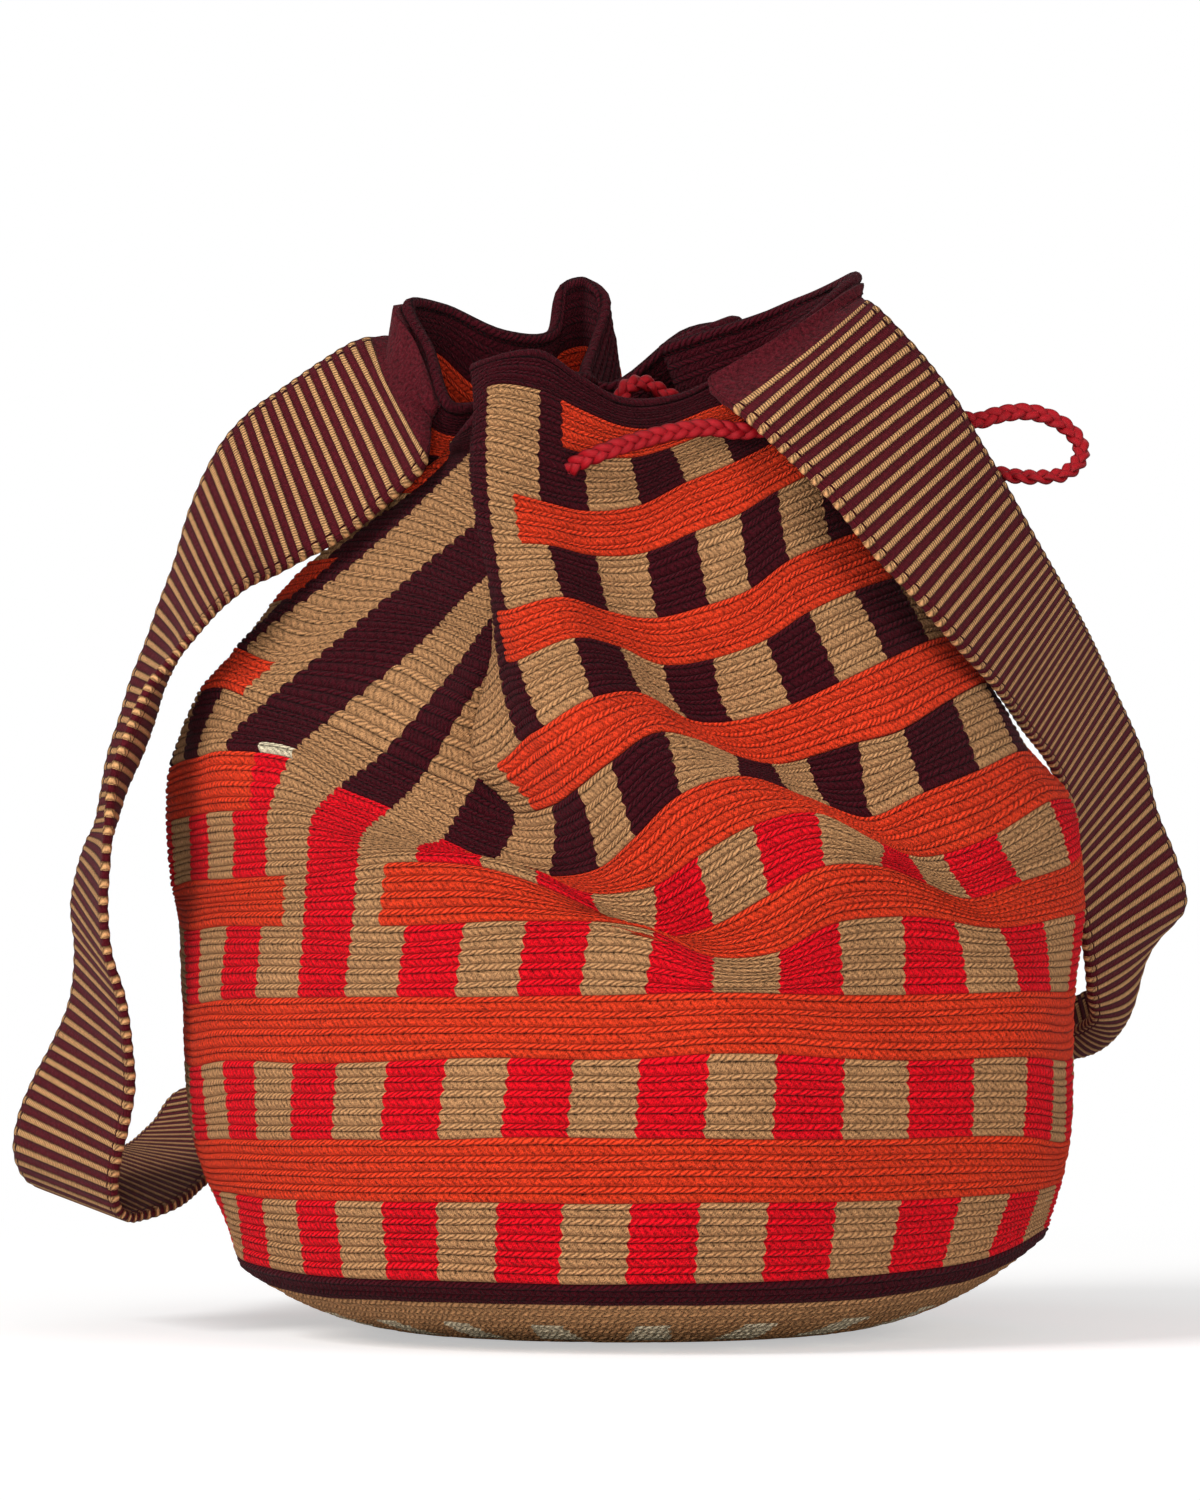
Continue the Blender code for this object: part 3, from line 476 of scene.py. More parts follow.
def uneven(rows):
    """How far each point's row drifts, and how much its ridge swells: no two rows are quite alike."""
    drift = row_noise(UNEVEN_SEED, 5)
    low_swell = row_noise(UNEVEN_SEED + 1, 1.2)
    high_swell = row_noise(UNEVEN_SEED + 2, 0.8)
    index = np.floor(rows).astype(int) - FIRST_ROW + 1
    inside = (rows - np.floor(rows))[:, None]
    drifted = drift[index] * (1 - inside) + drift[index + 1] * inside
    swell = np.where(inside < LOWER_SHARE, low_swell[index], high_swell[index])
    return drifted, swell


def outer_rings(columns, rows):
    rows = np.asarray(rows, float)
    points, normals, up = skin_with_normals(columns, rows)
    drift, swell = uneven(rows)
    # On the flat base the ridges grow into the wall, so that nothing sinks into the floor.
    lift = np.interp(rows, (BASE_EDGE_ROW, 0), (-1.0, -0.5))[:, None]
    settle = np.interp(rows, (BASE_EDGE_ROW, 0), (0.0, 1.0))[:, None]
    ridge = np.minimum(relief(rows)[:, None] * (1 + RIDGE_SWELL * swell), 1.0)
    height = ROW_RELIEF * (ridge + lift)
    return points + normals * height[..., None] + up * (ROW_DRIFT * drift * settle)[..., None]


def inner_rings(columns, rows):
    points, normals, _ = skin_with_normals(columns, rows)
    depth = WALL_THICKNESS + 0.5 * ROW_RELIEF * (relief(rows) - 1)
    return points - normals * depth[:, None, None]


def rim_rings(columns):
    """The rolled chain edge of the mouth, one row wide, and the row values along its roll."""
    points, normals, up = skin_with_normals(columns, [RIM_ROW - 0.01])
    middle = points - normals * WALL_THICKNESS / 2 + up * RIM_ROLL_RISE
    rings = [
        middle[0] + RIM_ROLL_RADIUS * (math.cos(turn) * normals[0] + math.sin(turn) * up[0])
        for turn in RIM_ROLL_TURNS
    ]
    return rings, np.linspace(RIM_ROW + 0.02, RIM_ROW + 0.98, len(rings))


def stitches_round(row):
    """Number of stitches in one row: the wall's count, and fewer towards the middle of the base."""
    share = np.clip(1 + BASE_SHRINK * (row + 0.5), 0.05, 1)
    return STITCH_GROUP * np.round(STITCHES_PER_COLUMN * COLUMNS * share / STITCH_GROUP)


def add_uv(mesh, name, corners):
    """A UV map from one pair of values for each face corner; the corners of the end caps get zeros."""
    layer = mesh.uv_layers.new(name=name)
    pairs = np.zeros((len(mesh.loops), 2))
    pairs[: len(corners)] = corners
    layer.data.foreach_set("uv", pairs.ravel())


def finished_mesh(name, points, faces, caps, maps):
    """A smooth mesh of quads and end caps, with its UV maps."""
    mesh = bpy.data.meshes.new(name)
    mesh.from_pydata(np.reshape(points, (-1, 3)).tolist(), [], faces.reshape(-1, 4).tolist() + caps)
    for map_name, (u, v) in maps.items():
        add_uv(mesh, map_name, np.stack([np.ravel(u), np.ravel(v)], -1))
    mesh.polygons.foreach_set("use_smooth", [True] * len(mesh.polygons))
    mesh.update()
    return mesh


def crochet_mesh(name, rings, rows, columns, round_again):
    """Quads through rings of points. It closes on itself where round_again, or else with two end caps."""
    count, across = np.shape(rings)[:2]
    index = np.arange(count * across).reshape(count, across)
    rows = np.asarray(rows, float)
    if round_again:
        low, high = index, np.roll(index, -1, axis=0)
        first, second = rows, np.append(rows[1:], rows[-1])
        caps = []
    else:
        low, high = index[:-1], index[1:]
        first, second = rows[:-1], rows[1:]
        caps = [index[0][::-1].tolist(), index[-1].tolist()]
    faces = np.stack([low, np.roll(low, -1, 1), np.roll(high, -1, 1), high], -1)
    left = columns
    right = columns + COLUMNS / FINE_COLUMNS
    column = np.broadcast_to(np.stack([left, right, right, left], -1), faces.shape)
    row = np.broadcast_to(np.stack([first, first, second, second], -1)[:, None], faces.shape)
    face_row = np.floor(np.minimum(first, second) + 1e-6)
    stitch = column / COLUMNS * stitches_round(face_row)[:, None, None]
    return finished_mesh(name, rings, faces, caps, {GRID_MAP: (column, row), STITCH_MAP: (stitch, row)})


def add_piece(mesh, material, node):
    """A finished piece: its material, the body it rides on, and the CAD node it stands for."""
    mesh.materials.append(material)
    piece = bpy.data.objects.new(mesh.name, mesh)
    bpy.context.scene.collection.objects.link(piece)
    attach(piece, "root")
    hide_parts(node)
    return piece


def make_belly(columns, material):
    """Base and lower wall, outside and inside, in one closed shell."""
    outer = [BASE_CENTRE_ROW + 0.2] + row_steps(FIRST_ROW, BASE_EDGE_ROW, DISC_STEPS)
    outer += row_steps(BASE_EDGE_ROW, 0, BASE_STEPS) + row_steps(0, SPLIT_ROW, OUTER_STEPS) + [SPLIT_ROW]
    inner = row_steps(FIRST_ROW, SPLIT_ROW, HIDDEN_STEPS) + [SPLIT_ROW]
    rings = [*outer_rings(columns, outer), *inner_rings(columns, inner)[::-1]]
    mesh = crochet_mesh("crochet_belly", rings, outer + inner[::-1], columns, False)
    add_piece(mesh, material, "bag_body")


def make_neck(columns, material):
    """Upper wall with its pleats, the rolled rim and the inside of the mouth, in one closed ring."""
    outer = row_steps(SPLIT_ROW, RIM_ROW, OUTER_STEPS)
    roll, roll_rows = rim_rings(columns)
    inner = row_steps(SPLIT_ROW, RIM_ROW, INNER_STEPS)
    rings = [*outer_rings(columns, outer), *roll, *inner_rings(columns, inner)[::-1]]
    rows = [*outer, *roll_rows, *inner[::-1]]
    mesh = crochet_mesh("crochet_neck", rings, rows, columns, True)
    add_piece(mesh, material, "bag_body")


def seam_section(seam, row):
    """Strap section sewn along the rim: one point for each rail, just off the wall."""
    out = STRAP_THICKNESS / 2 + SEAM_CLEARANCE
    return np.array([wall_point(column, row, out) for column in np.linspace(*seam, STRAP_RAILS)])


def free_section(before, station, after):
    """Strap section of full width at a free station, bowed across its width by the station's last value."""
    inner, outer = place(station[:3]), place(station[3:6])
    middle = (inner + outer) / 2
    across = (outer - inner) / np.linalg.norm(outer - inner)
    travel = place(after[:3]) + place(after[3:6]) - place(before[:3]) - place(before[3:6])
    bow = np.cross(across, travel)
    bow *= station[6] * MM / np.linalg.norm(bow)
    share = np.linspace(-1, 1, STRAP_RAILS)[:, None]
    return middle + share * across * STRAP_WIDTH / 2 + (1 - share**2) * bow


class StrapPath:
    """The strap's sections from its seam at the right, round behind the bag, to its seam at the left."""

    def __init__(self):
        stations = STRAP_STATIONS
        right = [seam_section(RIGHT_SEAM, row) for row in SEAM_ROWS]
        left = [seam_section(LEFT_SEAM, row) for row in reversed(SEAM_ROWS)]
        last = len(stations) - 1
        free = [
            free_section(stations[max(i - 1, 0)], stations[i], stations[min(i + 1, last)])
            for i in range(len(stations))
        ]
        self.sections = np.array(right + free + left)
        self.walked = walk(self.sections.mean(axis=1))
        self.length = self.walked[-1]

    def at(self, along):
        flat = spline(self.walked, self.sections.reshape(len(self.sections), -1), along)
        return flat.reshape(len(along), STRAP_RAILS, 3)


def stripe_heights(along, length):
    """Height of the weave's ribs along the strap; its plain ends have none."""
    share = (along / STRIPE_PERIOD) % 1
    height = np.interp(share, (*STRIPE_STEPS, 1.0), STRIPE_HEIGHT)
    plain = (along < RIGHT_PLAIN_END) | (along > length - LEFT_PLAIN_END)
    return np.where(plain, PLAIN_HEIGHT, height) * STRIPE_RELIEF


def edge_roll(edge, outward, normal, swell):
    """Points round one edge of the strap, from its top to its underside."""
    radius = EDGE_RADIUS * (1 + EDGE_SWELL * swell)
    middle = edge - outward * EDGE_RADIUS
    return [middle + radius * (math.cos(turn) * outward - math.sin(turn) * normal) for turn in EDGE_TURNS]


def strap_loop(section, normals, rib, swell):
    """One closed ring round the strap: its top, its outer edge, its underside and its inner edge."""
    half = (STRAP_THICKNESS - STRIPE_RELIEF) / 2 + rib
    top = section + normals * half
    under = (section - normals * half)[::-1]
    outer = edge_roll(section[-1], unit(section[-1] - section[-2]), normals[-1], swell)
    inner = edge_roll(section[0], unit(section[0] - section[1]), normals[0], swell)
    return np.concatenate([top[1:-1], outer, under[1:-1], inner[::-1]])


def strap_across():
    """Distance from the strap's inner edge at each point of strap_loop()."""
    rails = np.linspace(0, STRAP_WIDTH, STRAP_RAILS)[1:-1]
    inset = EDGE_RADIUS * (1 - np.cos(EDGE_TURNS))
    return np.concatenate([rails, STRAP_WIDTH - inset, rails[::-1], inset])


def make_strap(path, material):
    periods = int(path.length / STRIPE_PERIOD)
    steps = [(period + step) * STRIPE_PERIOD for period in range(periods) for step in STRIPE_STEPS]
    along = np.array(steps + [periods * STRIPE_PERIOD, path.length])
    sections = path.at(along)
    normals = unit(np.cross(np.gradient(sections, axis=1), np.gradient(sections, axis=0)))
    ribs = stripe_heights(along, path.length)
    swells = np.cos(FULL_TURN * (along / STRIPE_PERIOD - TAN_SHARE / 2))
    loops = np.array([strap_loop(*ring_of) for ring_of in zip(sections, normals, ribs, swells)])
    count, around = loops.shape[:2]
    index = np.arange(count * around).reshape(count, around)
    faces = np.stack([index[:-1], index[1:], np.roll(index[1:], -1, 1), np.roll(index[:-1], -1, 1)], -1)
    caps = [index[0].tolist(), index[-1][::-1].tolist()]
    here = strap_across()
    beyond = np.roll(here, -1)
    across = np.broadcast_to(np.stack([here, here, beyond, beyond], -1), faces.shape)
    low, high = along[:-1], along[1:]
    reach = np.broadcast_to(np.stack([low, high, high, low], -1)[:, None], faces.shape)
    mesh = finished_mesh("strap_weave", loops, faces, caps, {STRAP_MAP: (across, reach)})
    strap = add_piece(mesh, material, "strap")


def cord_path(spacing):
    """Evenly spaced points on the smooth curve through the drawstring's route, and its length."""
    route = place(CORD_ROUTE)
    knots = walk(route)
    dense = spline(knots, route, np.linspace(0, knots[-1], CORD_SAMPLES))
    walked = walk(dense)
    even = np.linspace(0, walked[-1], int(walked[-1] / spacing))
    return np.array([np.interp(even, walked, dense[:, axis]) for axis in range(3)]).T, walked[-1]


def carried_along(path, first_side):
    """Two directions square to the path at each point, carried along it without twist."""
    tangents = unit(np.gradient(path, axis=0))
    sides = [unit(first_side - tangents[0] * np.dot(first_side, tangents[0]))]
    for tangent in tangents[1:]:
        sides.append(unit(sides[-1] - tangent * np.dot(sides[-1], tangent)))
    sides = np.array(sides)
    return sides, np.cross(tangents, sides)


def strand_rings(path, walked, share):
    """Rings of one flat strand, which swings from side to side and dips under and over the others."""
    thin, broad = carried_along(path, np.array([0.0, 1.0, 0.0]))
    phase = FULL_TURN * (walked / BRAID_TURN + share)
    swing = BRAID_SWING * np.sin(phase)
    depth = BRAID_DEPTH * np.sin(2 * phase)
    middle = path + broad * swing[:, None] + thin * depth[:, None]
    tangents = unit(np.gradient(middle, axis=0))
    normal = unit(thin - tangents * (thin * tangents).sum(1)[:, None])
    wide = np.cross(tangents, normal)
    turns = np.linspace(0, FULL_TURN, STRAND_SIDES, endpoint=False)[None, :, None]
    across = STRAND_HALF_WIDTH * np.cos(turns) * wide[:, None]
    through = STRAND_HALF_THICKNESS * np.sin(turns) * normal[:, None]
    return middle[:, None] + across + through


def make_drawstring(material):
    """The braid: three leather strands that pass over and under each other along the cord's path."""
    path, length = cord_path(BRAID_SPACING)
    walked = np.linspace(0, length, len(path))
    points = np.array([strand_rings(path, walked, strand / STRANDS) for strand in range(STRANDS)])
    index = np.arange(points.size // 3).reshape(points.shape[:3])
    low, high = index[:, :-1], index[:, 1:]
    faces = np.stack([low, np.roll(low, -1, 2), np.roll(high, -1, 2), high], -1)
    caps = []
    for strand in index:
        caps += [strand[0][::-1].tolist(), strand[-1].tolist()]
    here = np.arange(STRAND_SIDES) / STRAND_SIDES
    beyond = here + 1 / STRAND_SIDES
    around = np.broadcast_to(np.stack([here, beyond, beyond, here], -1), faces.shape)
    start, stop = walked[:-1], walked[1:]
    along = np.stack([start, start, stop, stop], -1)[:, None] + np.arange(STRANDS)[:, None, None, None]
    along = np.broadcast_to(along, faces.shape)
    mesh = finished_mesh("drawstring_braid", points, faces, caps, {STRAND_MAP: (around, along)})
    cord = add_piece(mesh, material, "drawstring")


class Graph:
    """Builds a material's nodes. Its methods return Fields, which stand for a node's output."""

    def __init__(self, name):
        self.material = bpy.data.materials.new(name)
        self.material.use_nodes = True
        self.nodes = self.material.node_tree.nodes
        self.links = self.material.node_tree.links
        self.shader = self.nodes["Principled BSDF"]

    def feed(self, socket, value):
        if isinstance(value, Field):
            self.links.new(value.socket, socket)
        else:
            socket.default_value = value

    def math(self, operation, *values):
        node = self.nodes.new("ShaderNodeMath")
        node.operation = operation
        for socket, value in zip(node.inputs, values):
            self.feed(socket, value)
        return Field(self, node.outputs[0])

    def uv(self, name):
        """The two values of a UV map."""
        source = self.nodes.new("ShaderNodeUVMap")
        source.uv_map = name
        apart = self.nodes.new("ShaderNodeSeparateXYZ")
        self.links.new(source.outputs["UV"], apart.inputs[0])
        return Field(self, apart.outputs["X"]), Field(self, apart.outputs["Y"])

    def noise(self, scale, detail=2.0):
        """Noise from 0 to 1 in the object's own space."""
        place_in = self.nodes.new("ShaderNodeTexCoord")
        texture = self.nodes.new("ShaderNodeTexNoise")
        texture.inputs["Scale"].default_value = scale
        texture.inputs["Detail"].default_value = detail
        self.links.new(place_in.outputs["Object"], texture.inputs["Vector"])
        return Field(self, texture.outputs["Fac"])

    def noise_on(self, u, v, detail=2.0):
        """Noise on two values, such as a UV map's."""
        join = self.nodes.new("ShaderNodeCombineXYZ")
        self.feed(join.inputs[0], u)
        self.feed(join.inputs[1], v)
        texture = self.nodes.new("ShaderNodeTexNoise")
        texture.inputs["Scale"].default_value = 1.0
        texture.inputs["Detail"].default_value = detail
        self.links.new(join.outputs[0], texture.inputs["Vector"])
        return Field(self, texture.outputs["Fac"])

    def mix(self, factor, first, second):
        """Colour that goes from first to second."""
        node = self.nodes.new("ShaderNodeMix")
        node.data_type = "RGBA"
        self.feed(node.inputs["Factor"], factor)
        for name, colour in (("A", first), ("B", second)):
            self.feed(node.inputs[name], colour if isinstance(colour, Field) else (*colour, 1.0))
        return Field(self, node.outputs["Result"])

    def shade(self, colour, value):
        """Colour times a value."""
        node = self.nodes.new("ShaderNodeVectorMath")
        node.operation = "SCALE"
        self.feed(node.inputs[0], colour)
        self.feed(node.inputs["Scale"], value)
        return Field(self, node.outputs[0])

    def bump(self, height, distance):
        node = self.nodes.new("ShaderNodeBump")
        node.inputs["Distance"].default_value = distance
        self.feed(node.inputs["Height"], height)
        self.links.new(node.outputs["Normal"], self.shader.inputs["Normal"])

    def set(self, **values):
        """Values or Fields for the shader's sockets, named with _ for a space."""
        for name, value in values.items():
            self.feed(self.shader.inputs[name.replace("_", " ")], value)


class Field:
    """A node's output that can be added, multiplied and compared like a number."""

    def __init__(self, graph, socket):
        self.graph = graph
        self.socket = socket

    def __add__(self, other):
        return self.graph.math("ADD", self, other)

    __radd__ = __add__

    def __sub__(self, other):
        return self.graph.math("SUBTRACT", self, other)

    def __rsub__(self, other):
        return self.graph.math("SUBTRACT", other, self)

    def __mul__(self, other):
        return self.graph.math("MULTIPLY", self, other)

    __rmul__ = __mul__

    def __truediv__(self, other):
        return self.graph.math("DIVIDE", self, other)

    def __pow__(self, other):
        return self.graph.math("POWER", self, other)

    def __mod__(self, other):
        return self.graph.math("FLOORED_MODULO", self, other)

    def __lt__(self, other):
        return self.graph.math("LESS_THAN", self, other)

    def __gt__(self, other):
        return self.graph.math("GREATER_THAN", self, other)

    def __abs__(self):
        return self.graph.math("ABSOLUTE", self)

    def floor(self):
        return self.graph.math("FLOOR", self)

    def sine(self):
        return self.graph.math("SINE", self)

    def clamped(self):
        return self.graph.math("MINIMUM", self.graph.math("MAXIMUM", self, 0.0), 1.0)

    def wrapped(self, half):
        return self.graph.math("WRAP", self, half, -half)

    def bead(self):
        """Rounded crowns one unit apart, with sharp valleys at the whole numbers."""
        return abs((self * math.pi).sine())


UPPER_LEAN = 3.0
LOWER_LEAN = 2.2
COLOUR_LEAN = 0.45
CREASE_SHARPNESS = 14.0


def crochet_pattern(graph, column, step):
    """Colour of the yarn at a column and a whole row."""
    is_tan = column.floor() % 2 > 0.5
    dyed = graph.mix(step > BURGUNDY_FROM_ROW - 0.5, RED, BURGUNDY)
    colour = graph.mix(is_tan, dyed, TAN)
    from_band = step - FIRST_BAND_ROW
    in_band = (from_band % BAND_PERIOD < BAND_ROWS - 0.5) * (step > FIRST_BAND_ROW - 0.5)
    wedge_half = (from_band / BAND_PERIOD).floor() - 1
    outside = abs((column - WEDGE_MIDDLE).wrapped(COLUMNS / 2)) > wedge_half
    colour = graph.mix(in_band * outside, colour, ORANGE)
    seen = column.wrapped(COLUMNS / 2)
    patch = (seen > CREAM_PATCH[0]) * (seen < CREAM_PATCH[1]) * (abs(step - BURGUNDY_FROM_ROW) < 0.5)
    colour = graph.mix(patch, colour, CREAM)
    colour = graph.mix(step > RIM_FROM_ROW - 0.5, colour, BURGUNDY)
    low, high = MOTIF_ROWS
    half_width = 0.5 - (step - low) * MOTIF_TAPER
    motif = (step > low - 0.5) * (step < high - 0.5) * (is_tan < 0.5)
    motif = motif * (abs(column % 1 - 0.5) < half_width)
    base_colour = graph.mix(motif, TAN, CREAM)
    base_colour = graph.mix(step > BASE_RING_ROW - 0.5, base_colour, BURGUNDY)
    return graph.mix(step < -0.5, colour, base_colour)


def crochet_material():
    """Crocheted cotton: rows of leaning stitches with painted shade in the grooves between them, and fine fibres."""
    graph = Graph("crocheted_cotton")
    column, row = graph.uv(GRID_MAP)
    stitch, _ = graph.uv(STITCH_MAP)
    wave = graph.noise(150.0, 1.0) - 0.5
    uneven_stitch = graph.noise(420.0, 2.0) - 0.5
    mottle = graph.noise(1000.0, 2.0) - 0.5
    fibre = graph.noise(1900.0, 3.0) - 0.5
    blotch = graph.noise(35.0) - 0.5
    step = row.floor()
    inside = row - step
    upper = inside > LOWER_SHARE
    lower = 1 - upper
    above = inside - LOWER_SHARE
    lean = above * (lower * LOWER_LEAN - upper * UPPER_LEAN)
    strand = (stitch + lean + uneven_stitch * 1.1 + wave * 0.6).bead()
    ply = (stitch * 3 - lean * 1.5 + uneven_stitch * 2.0).bead()
    low_ridge = (inside * (math.pi / LOWER_SHARE)).sine() * lower
    high_ridge = (above * (math.pi / (1 - LOWER_SHARE))).sine() * upper
    # Ridge heights: they shape the bump and also paint shade into the colour through the light value below.
    low_relief_shade = (low_ridge ** 0.40) * (0.28 + strand * 0.44 + ply * 0.28 + mottle * 1.8)
    high_relief_shade = (high_ridge ** 0.35) * (0.30 + strand * 0.86 + mottle * 1.2)
    height = low_relief_shade * lower + high_relief_shade * upper + fibre * 0.6
    # A thin line of painted shade beneath each upper ridge; it darkens the colour only, not the bump.
    crease_shade = (1 - abs(above + uneven_stitch * 0.30 + wave * 0.15) * CREASE_SHARPNESS).clamped()
    # Painted shade: the colour darkens with the ridge height, down in the grooves, and along the crease line; the
    # fibre and blotch terms are the yarn's own uneven tone.
    light = 0.22 + height * 0.98 + fibre * 0.5 + blotch * 0.2 - crease_shade * 0.34
    pattern = crochet_pattern(graph, column + lean * (COLOUR_LEAN / STITCHES_PER_COLUMN), step)
    graph.set(Base_Color=graph.shade(pattern, light))
    graph.set(Roughness=0.98 - height * 0.12, Specular_IOR_Level=0.06)
    graph.set(Sheen_Weight=0.02, Sheen_Roughness=0.5)
    graph.bump(height, 0.8 * MM)
    return graph.material


EDGE_BAND = 2.6 * MM
EDGE_GAP = 0.8 * MM
CHAIN_LINE = (1.05 * MM, 0.16 * MM)
BLOB_SHARE = 0.52
BLOB_SHIFT = 0.04
ROPE_PITCH = 1.05 * MM
WEFT_PITCH = 0.85 * MM


def strap_material(length):
    """Warp-faced band: raised tan ribs of small rope-like stitches on burgundy, with chained edges, and painted shade
    in the grooves between the ribs.
    """
    graph = Graph("woven_cotton")
    across, along = graph.uv(STRAP_MAP)
    share = (along / STRIPE_PERIOD) % 1
    uneven_stitch = graph.noise(500.0, 2.0) - 0.5
    mottle = graph.noise(900.0, 2.0) - 0.5
    fibre = graph.noise(2200.0, 3.0) - 0.5
    blotch = graph.noise(30.0) - 0.5
    plain = ((along < RIGHT_PLAIN_END) + (along > length - LEFT_PLAIN_END)).clamped()
    rope = (across / ROPE_PITCH + share * 1.6 + uneven_stitch * 0.3).bead()
    weft = (across / WEFT_PITCH - share * 0.6 + uneven_stitch * 0.5).bead()
    ragged = share + (rope - 0.6) * 0.12 + uneven_stitch * 0.10
    edge_distance = graph.math("MINIMUM", across, STRAP_WIDTH - across)
    on_edge = edge_distance < EDGE_BAND
    in_stripes = edge_distance > EDGE_BAND + EDGE_GAP
    chain_line = abs(edge_distance - CHAIN_LINE[0]) < CHAIN_LINE[1]
    blob = on_edge * ((share + BLOB_SHIFT) % 1 < BLOB_SHARE)
    striped = (ragged < TAN_SHARE) * (ragged > 0.0) * in_stripes
    is_tan = (striped + blob) * (1 - plain)
    rib = (share * (math.pi / TAN_SHARE)).sine().clamped() ** 0.5
    ground = ((share - TAN_SHARE) * (math.pi / (1 - TAN_SHARE))).sine().clamped() ** 0.5
    tan_height = rib * (0.05 + rope * 1.05 + mottle * 0.8)
    ground_height = ground * (0.50 + weft * 0.30 + mottle * 1.2) * 0.8
    woven = tan_height * is_tan + ground_height * (1 - is_tan)
    felt = 0.50 + mottle * 1.8
    woven = woven * (1 - plain) + plain * felt - on_edge * chain_line * 0.4
    height = woven + fibre * (0.35 + plain * 0.35)
    # Painted shade: the colour darkens with the height, down the sides of each rib, in the grooves and along the chain
    # line; the fibre and blotch terms are the yarn's own uneven tone.
    light = 0.22 + height * 0.92 + fibre * 0.5 + blotch * 0.2
    graph.set(Base_Color=graph.shade(graph.mix(is_tan, STRAP_BURGUNDY, STRAP_TAN), light))
    graph.set(Roughness=0.98 - height * 0.12, Specular_IOR_Level=0.06)
    graph.set(Sheen_Weight=0.03, Sheen_Roughness=0.5)
    graph.bump(height, 0.5 * MM)
    return graph.material


def leather_material():
    """Dyed leather lace: fine grain along each strand, with painted shade towards its edges and painted light on its
    crown, and a soft polish.
    """
    graph = Graph("braided_leather")
    around, along = graph.uv(STRAND_MAP)
    grain = graph.noise_on(around * 26, along * 160, 3.0)
    pores = graph.noise(2600.0)
    wear = graph.noise(240.0)
    crown_light = abs((around * FULL_TURN).sine())
    # Painted light and shade: lighter on each strand's crown, darker towards its edges; the grain and wear terms are
    # the leather's own uneven tone.
    light = 0.16 + crown_light * 0.80 + (grain - 0.5) * 0.7 + (wear - 0.5) * 0.3
    graph.set(Base_Color=graph.shade(graph.mix(wear * 0.25, LEATHER_RED, LEATHER_WORN), light))
    graph.set(Roughness=0.44 + grain * 0.22, Specular_IOR_Level=0.14)
    graph.bump(grain * 0.7 + pores * 0.3, 0.16 * MM)
    return graph.material


def seen_directly(tree):
    """1 for camera, glossy and transmission rays, which see the pale background, and 0 for the rest."""
    rays = tree.nodes.new("ShaderNodeLightPath")
    seen = rays.outputs["Is Camera Ray"]
    for name in ("Is Glossy Ray", "Is Transmission Ray"):
        either = tree.nodes.new("ShaderNodeMath")
        either.operation = "MAXIMUM"
        tree.links.new(seen, either.inputs[0])
        tree.links.new(rays.outputs[name], either.inputs[1])
        seen = either.outputs[0]
    return seen


def mix_shaders(tree, factor, first, second):
    mix = tree.nodes.new("ShaderNodeMixShader")
    tree.links.new(factor, mix.inputs["Fac"])
    tree.links.new(first, mix.inputs[1])
    tree.links.new(second, mix.inputs[2])
    return mix.outputs[0]


def make_world():
    world = bpy.data.worlds.new("studio")
    world.use_nodes = True
    bpy.context.scene.world = world
    tree = world.node_tree
    light = tree.nodes["Background"]
    light.inputs["Color"].default_value = (*WORLD_COLOUR, 1.0)
    light.inputs["Strength"].default_value = WORLD_LEVEL
    white = tree.nodes.new("ShaderNodeBackground")
    white.inputs["Color"].default_value = (1, 1, 1, 1)
    both = mix_shaders(tree, seen_directly(tree), light.outputs[0], white.outputs[0])
    tree.links.new(both, tree.nodes["World Output"].inputs["Surface"])


def fade_out(tree):
    """0 on the floor round the bag, 1 further out."""
    place_in = tree.nodes.new("ShaderNodeTexCoord")
    reach = tree.nodes.new("ShaderNodeVectorMath")
    reach.operation = "LENGTH"
    tree.links.new(place_in.outputs["Object"], reach.inputs[0])
    fade = tree.nodes.new("ShaderNodeMapRange")
    fade.interpolation_type = "SMOOTHSTEP"
    fade.inputs["From Min"].default_value = FLOOR_FADE[0]
    fade.inputs["From Max"].default_value = FLOOR_FADE[1]
    tree.links.new(reach.outputs["Value"], fade.inputs["Value"])
    return fade.outputs[0]


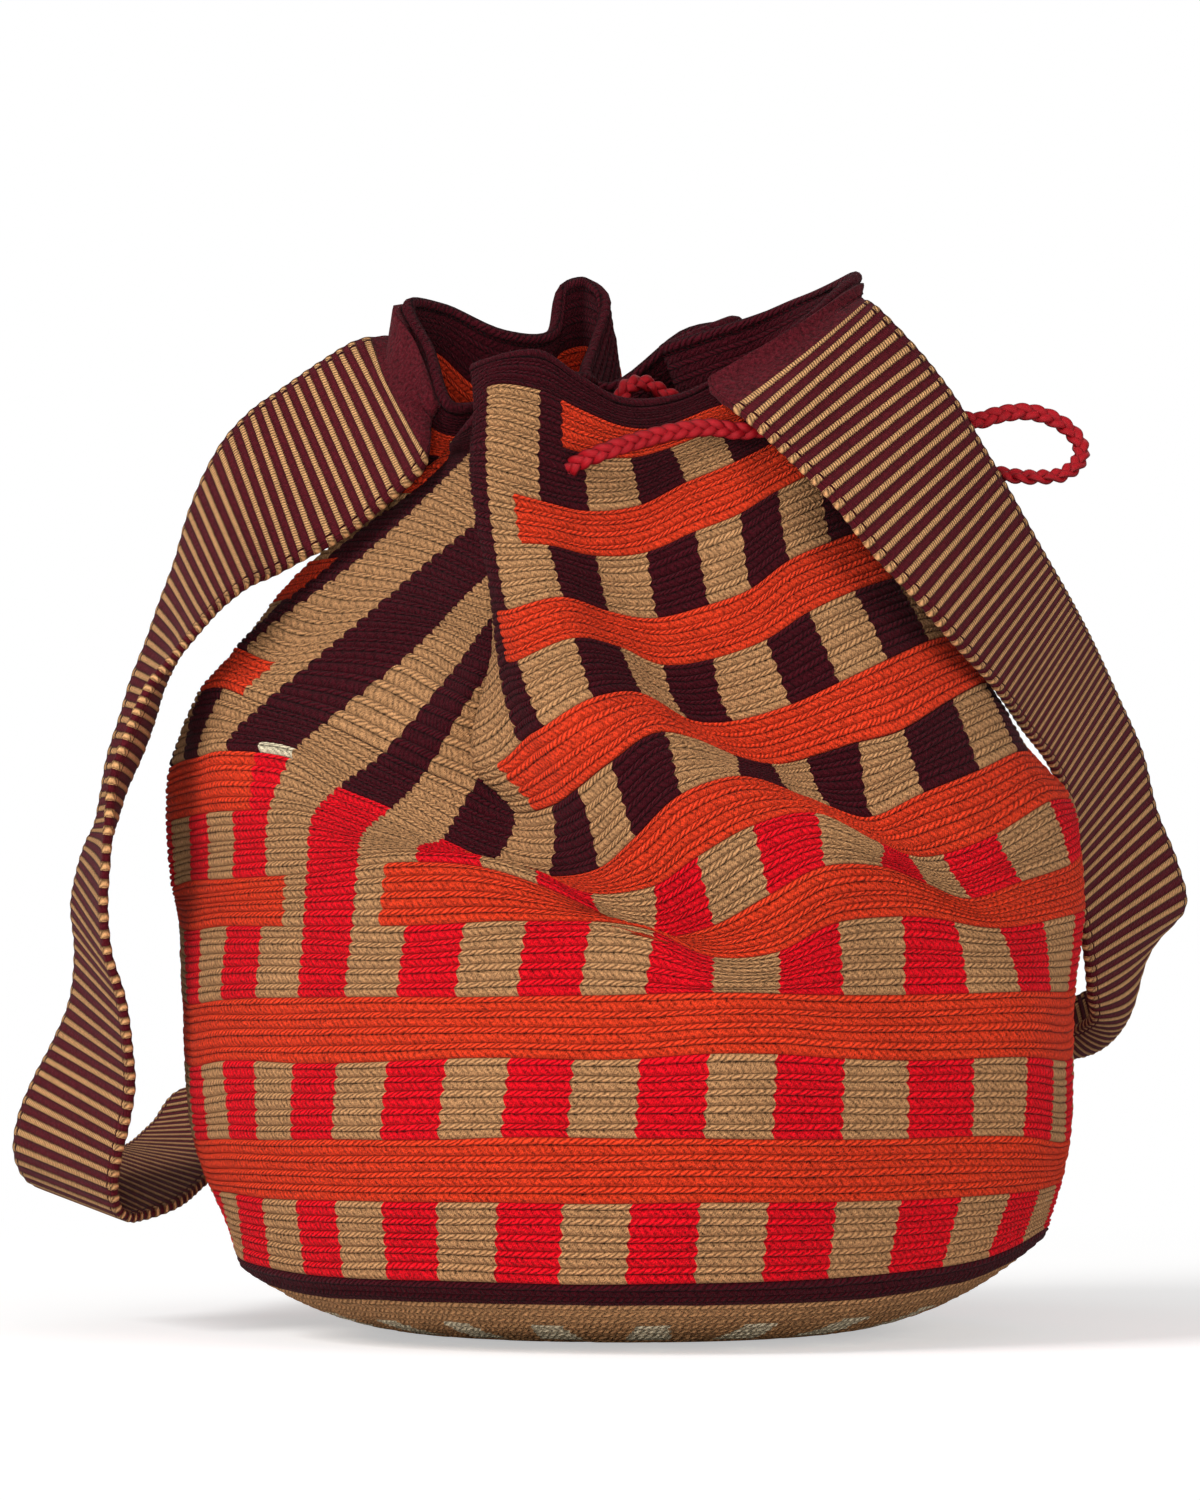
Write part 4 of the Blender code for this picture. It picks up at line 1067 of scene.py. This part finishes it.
def floor_material():
    """Pale and matt. The camera sees it white, with the bag's soft shadow on it."""
    made = bpy.data.materials.new("pale_floor")
    made.use_nodes = True
    tree = made.node_tree
    surface = tree.nodes["Principled BSDF"]
    surface.inputs["Base Color"].default_value = (FLOOR_WHITE, FLOOR_WHITE, FLOOR_WHITE, 1)
    surface.inputs["Roughness"].default_value = 1.0
    surface.inputs["Specular IOR Level"].default_value = 0.0
    glow = tree.nodes.new("ShaderNodeEmission")
    glow.inputs["Strength"].default_value = FLOOR_GLOW
    white = tree.nodes.new("ShaderNodeEmission")
    white.inputs["Strength"].default_value = 1.0
    lit = tree.nodes.new("ShaderNodeAddShader")
    tree.links.new(surface.outputs[0], lit.inputs[0])
    tree.links.new(glow.outputs[0], lit.inputs[1])
    shown = mix_shaders(tree, fade_out(tree), lit.outputs[0], white.outputs[0])
    both = mix_shaders(tree, seen_directly(tree), surface.outputs[0], shown)
    tree.links.new(both, tree.nodes["Material Output"].inputs["Surface"])
    return made


def make_floor():
    half = FLOOR_SIZE / 2
    mesh = bpy.data.meshes.new("floor")
    corners = [(-half, -half, 0), (half, -half, 0), (half, half, 0), (-half, half, 0)]
    mesh.from_pydata(corners, [], [(0, 1, 2, 3)])
    mesh.materials.append(floor_material())
    floor = bpy.data.objects.new("floor", mesh)
    bpy.context.scene.collection.objects.link(floor)
    floor.location.z = -FLOOR_DROP


def add_light(name, place_at, size, power):
    lamp = bpy.data.lights.new(name, "AREA")
    lamp.size = size
    lamp.energy = power
    made = bpy.data.objects.new(name, lamp)
    bpy.context.scene.collection.objects.link(made)
    made.location = place_at
    away = made.location.copy()
    for axis in range(3):
        away[axis] -= LIGHT_TARGET[axis]
    made.rotation_euler = away.to_track_quat("Z", "Y").to_euler()


def make_lights():
    """A large soft key from the upper left, a fill from the right, and a low one for the base."""
    add_light("key", (-2.3, -1.9, 2.1), 1.4, 84)
    add_light("fill", (2.4, -1.6, 1.0), 1.8, 24)
    add_light("low", (-0.2, -2.6, 0.02), 0.7, 46)


def make_camera():
    camera = bpy.data.cameras.new("camera")
    camera.lens = CAMERA_LENS
    camera.sensor_width = CAMERA_SENSOR
    made = bpy.data.objects.new("camera", camera)
    made.location = CAMERA_PLACE
    made.rotation_euler = (math.radians(90), 0, 0)
    bpy.context.scene.collection.objects.link(made)
    bpy.context.scene.camera = made


def main():
    bpy.context.scene.view_settings.view_transform = "Standard"
    make_camera()
    make_drawstring(leather_material())
    columns = np.arange(FINE_COLUMNS) * COLUMNS / FINE_COLUMNS
    crochet = crochet_material()
    make_belly(columns, crochet)
    make_neck(columns, crochet)
    path = StrapPath()
    make_strap(path, strap_material(path.length))
    make_world()
    make_floor()
    make_lights()


main()
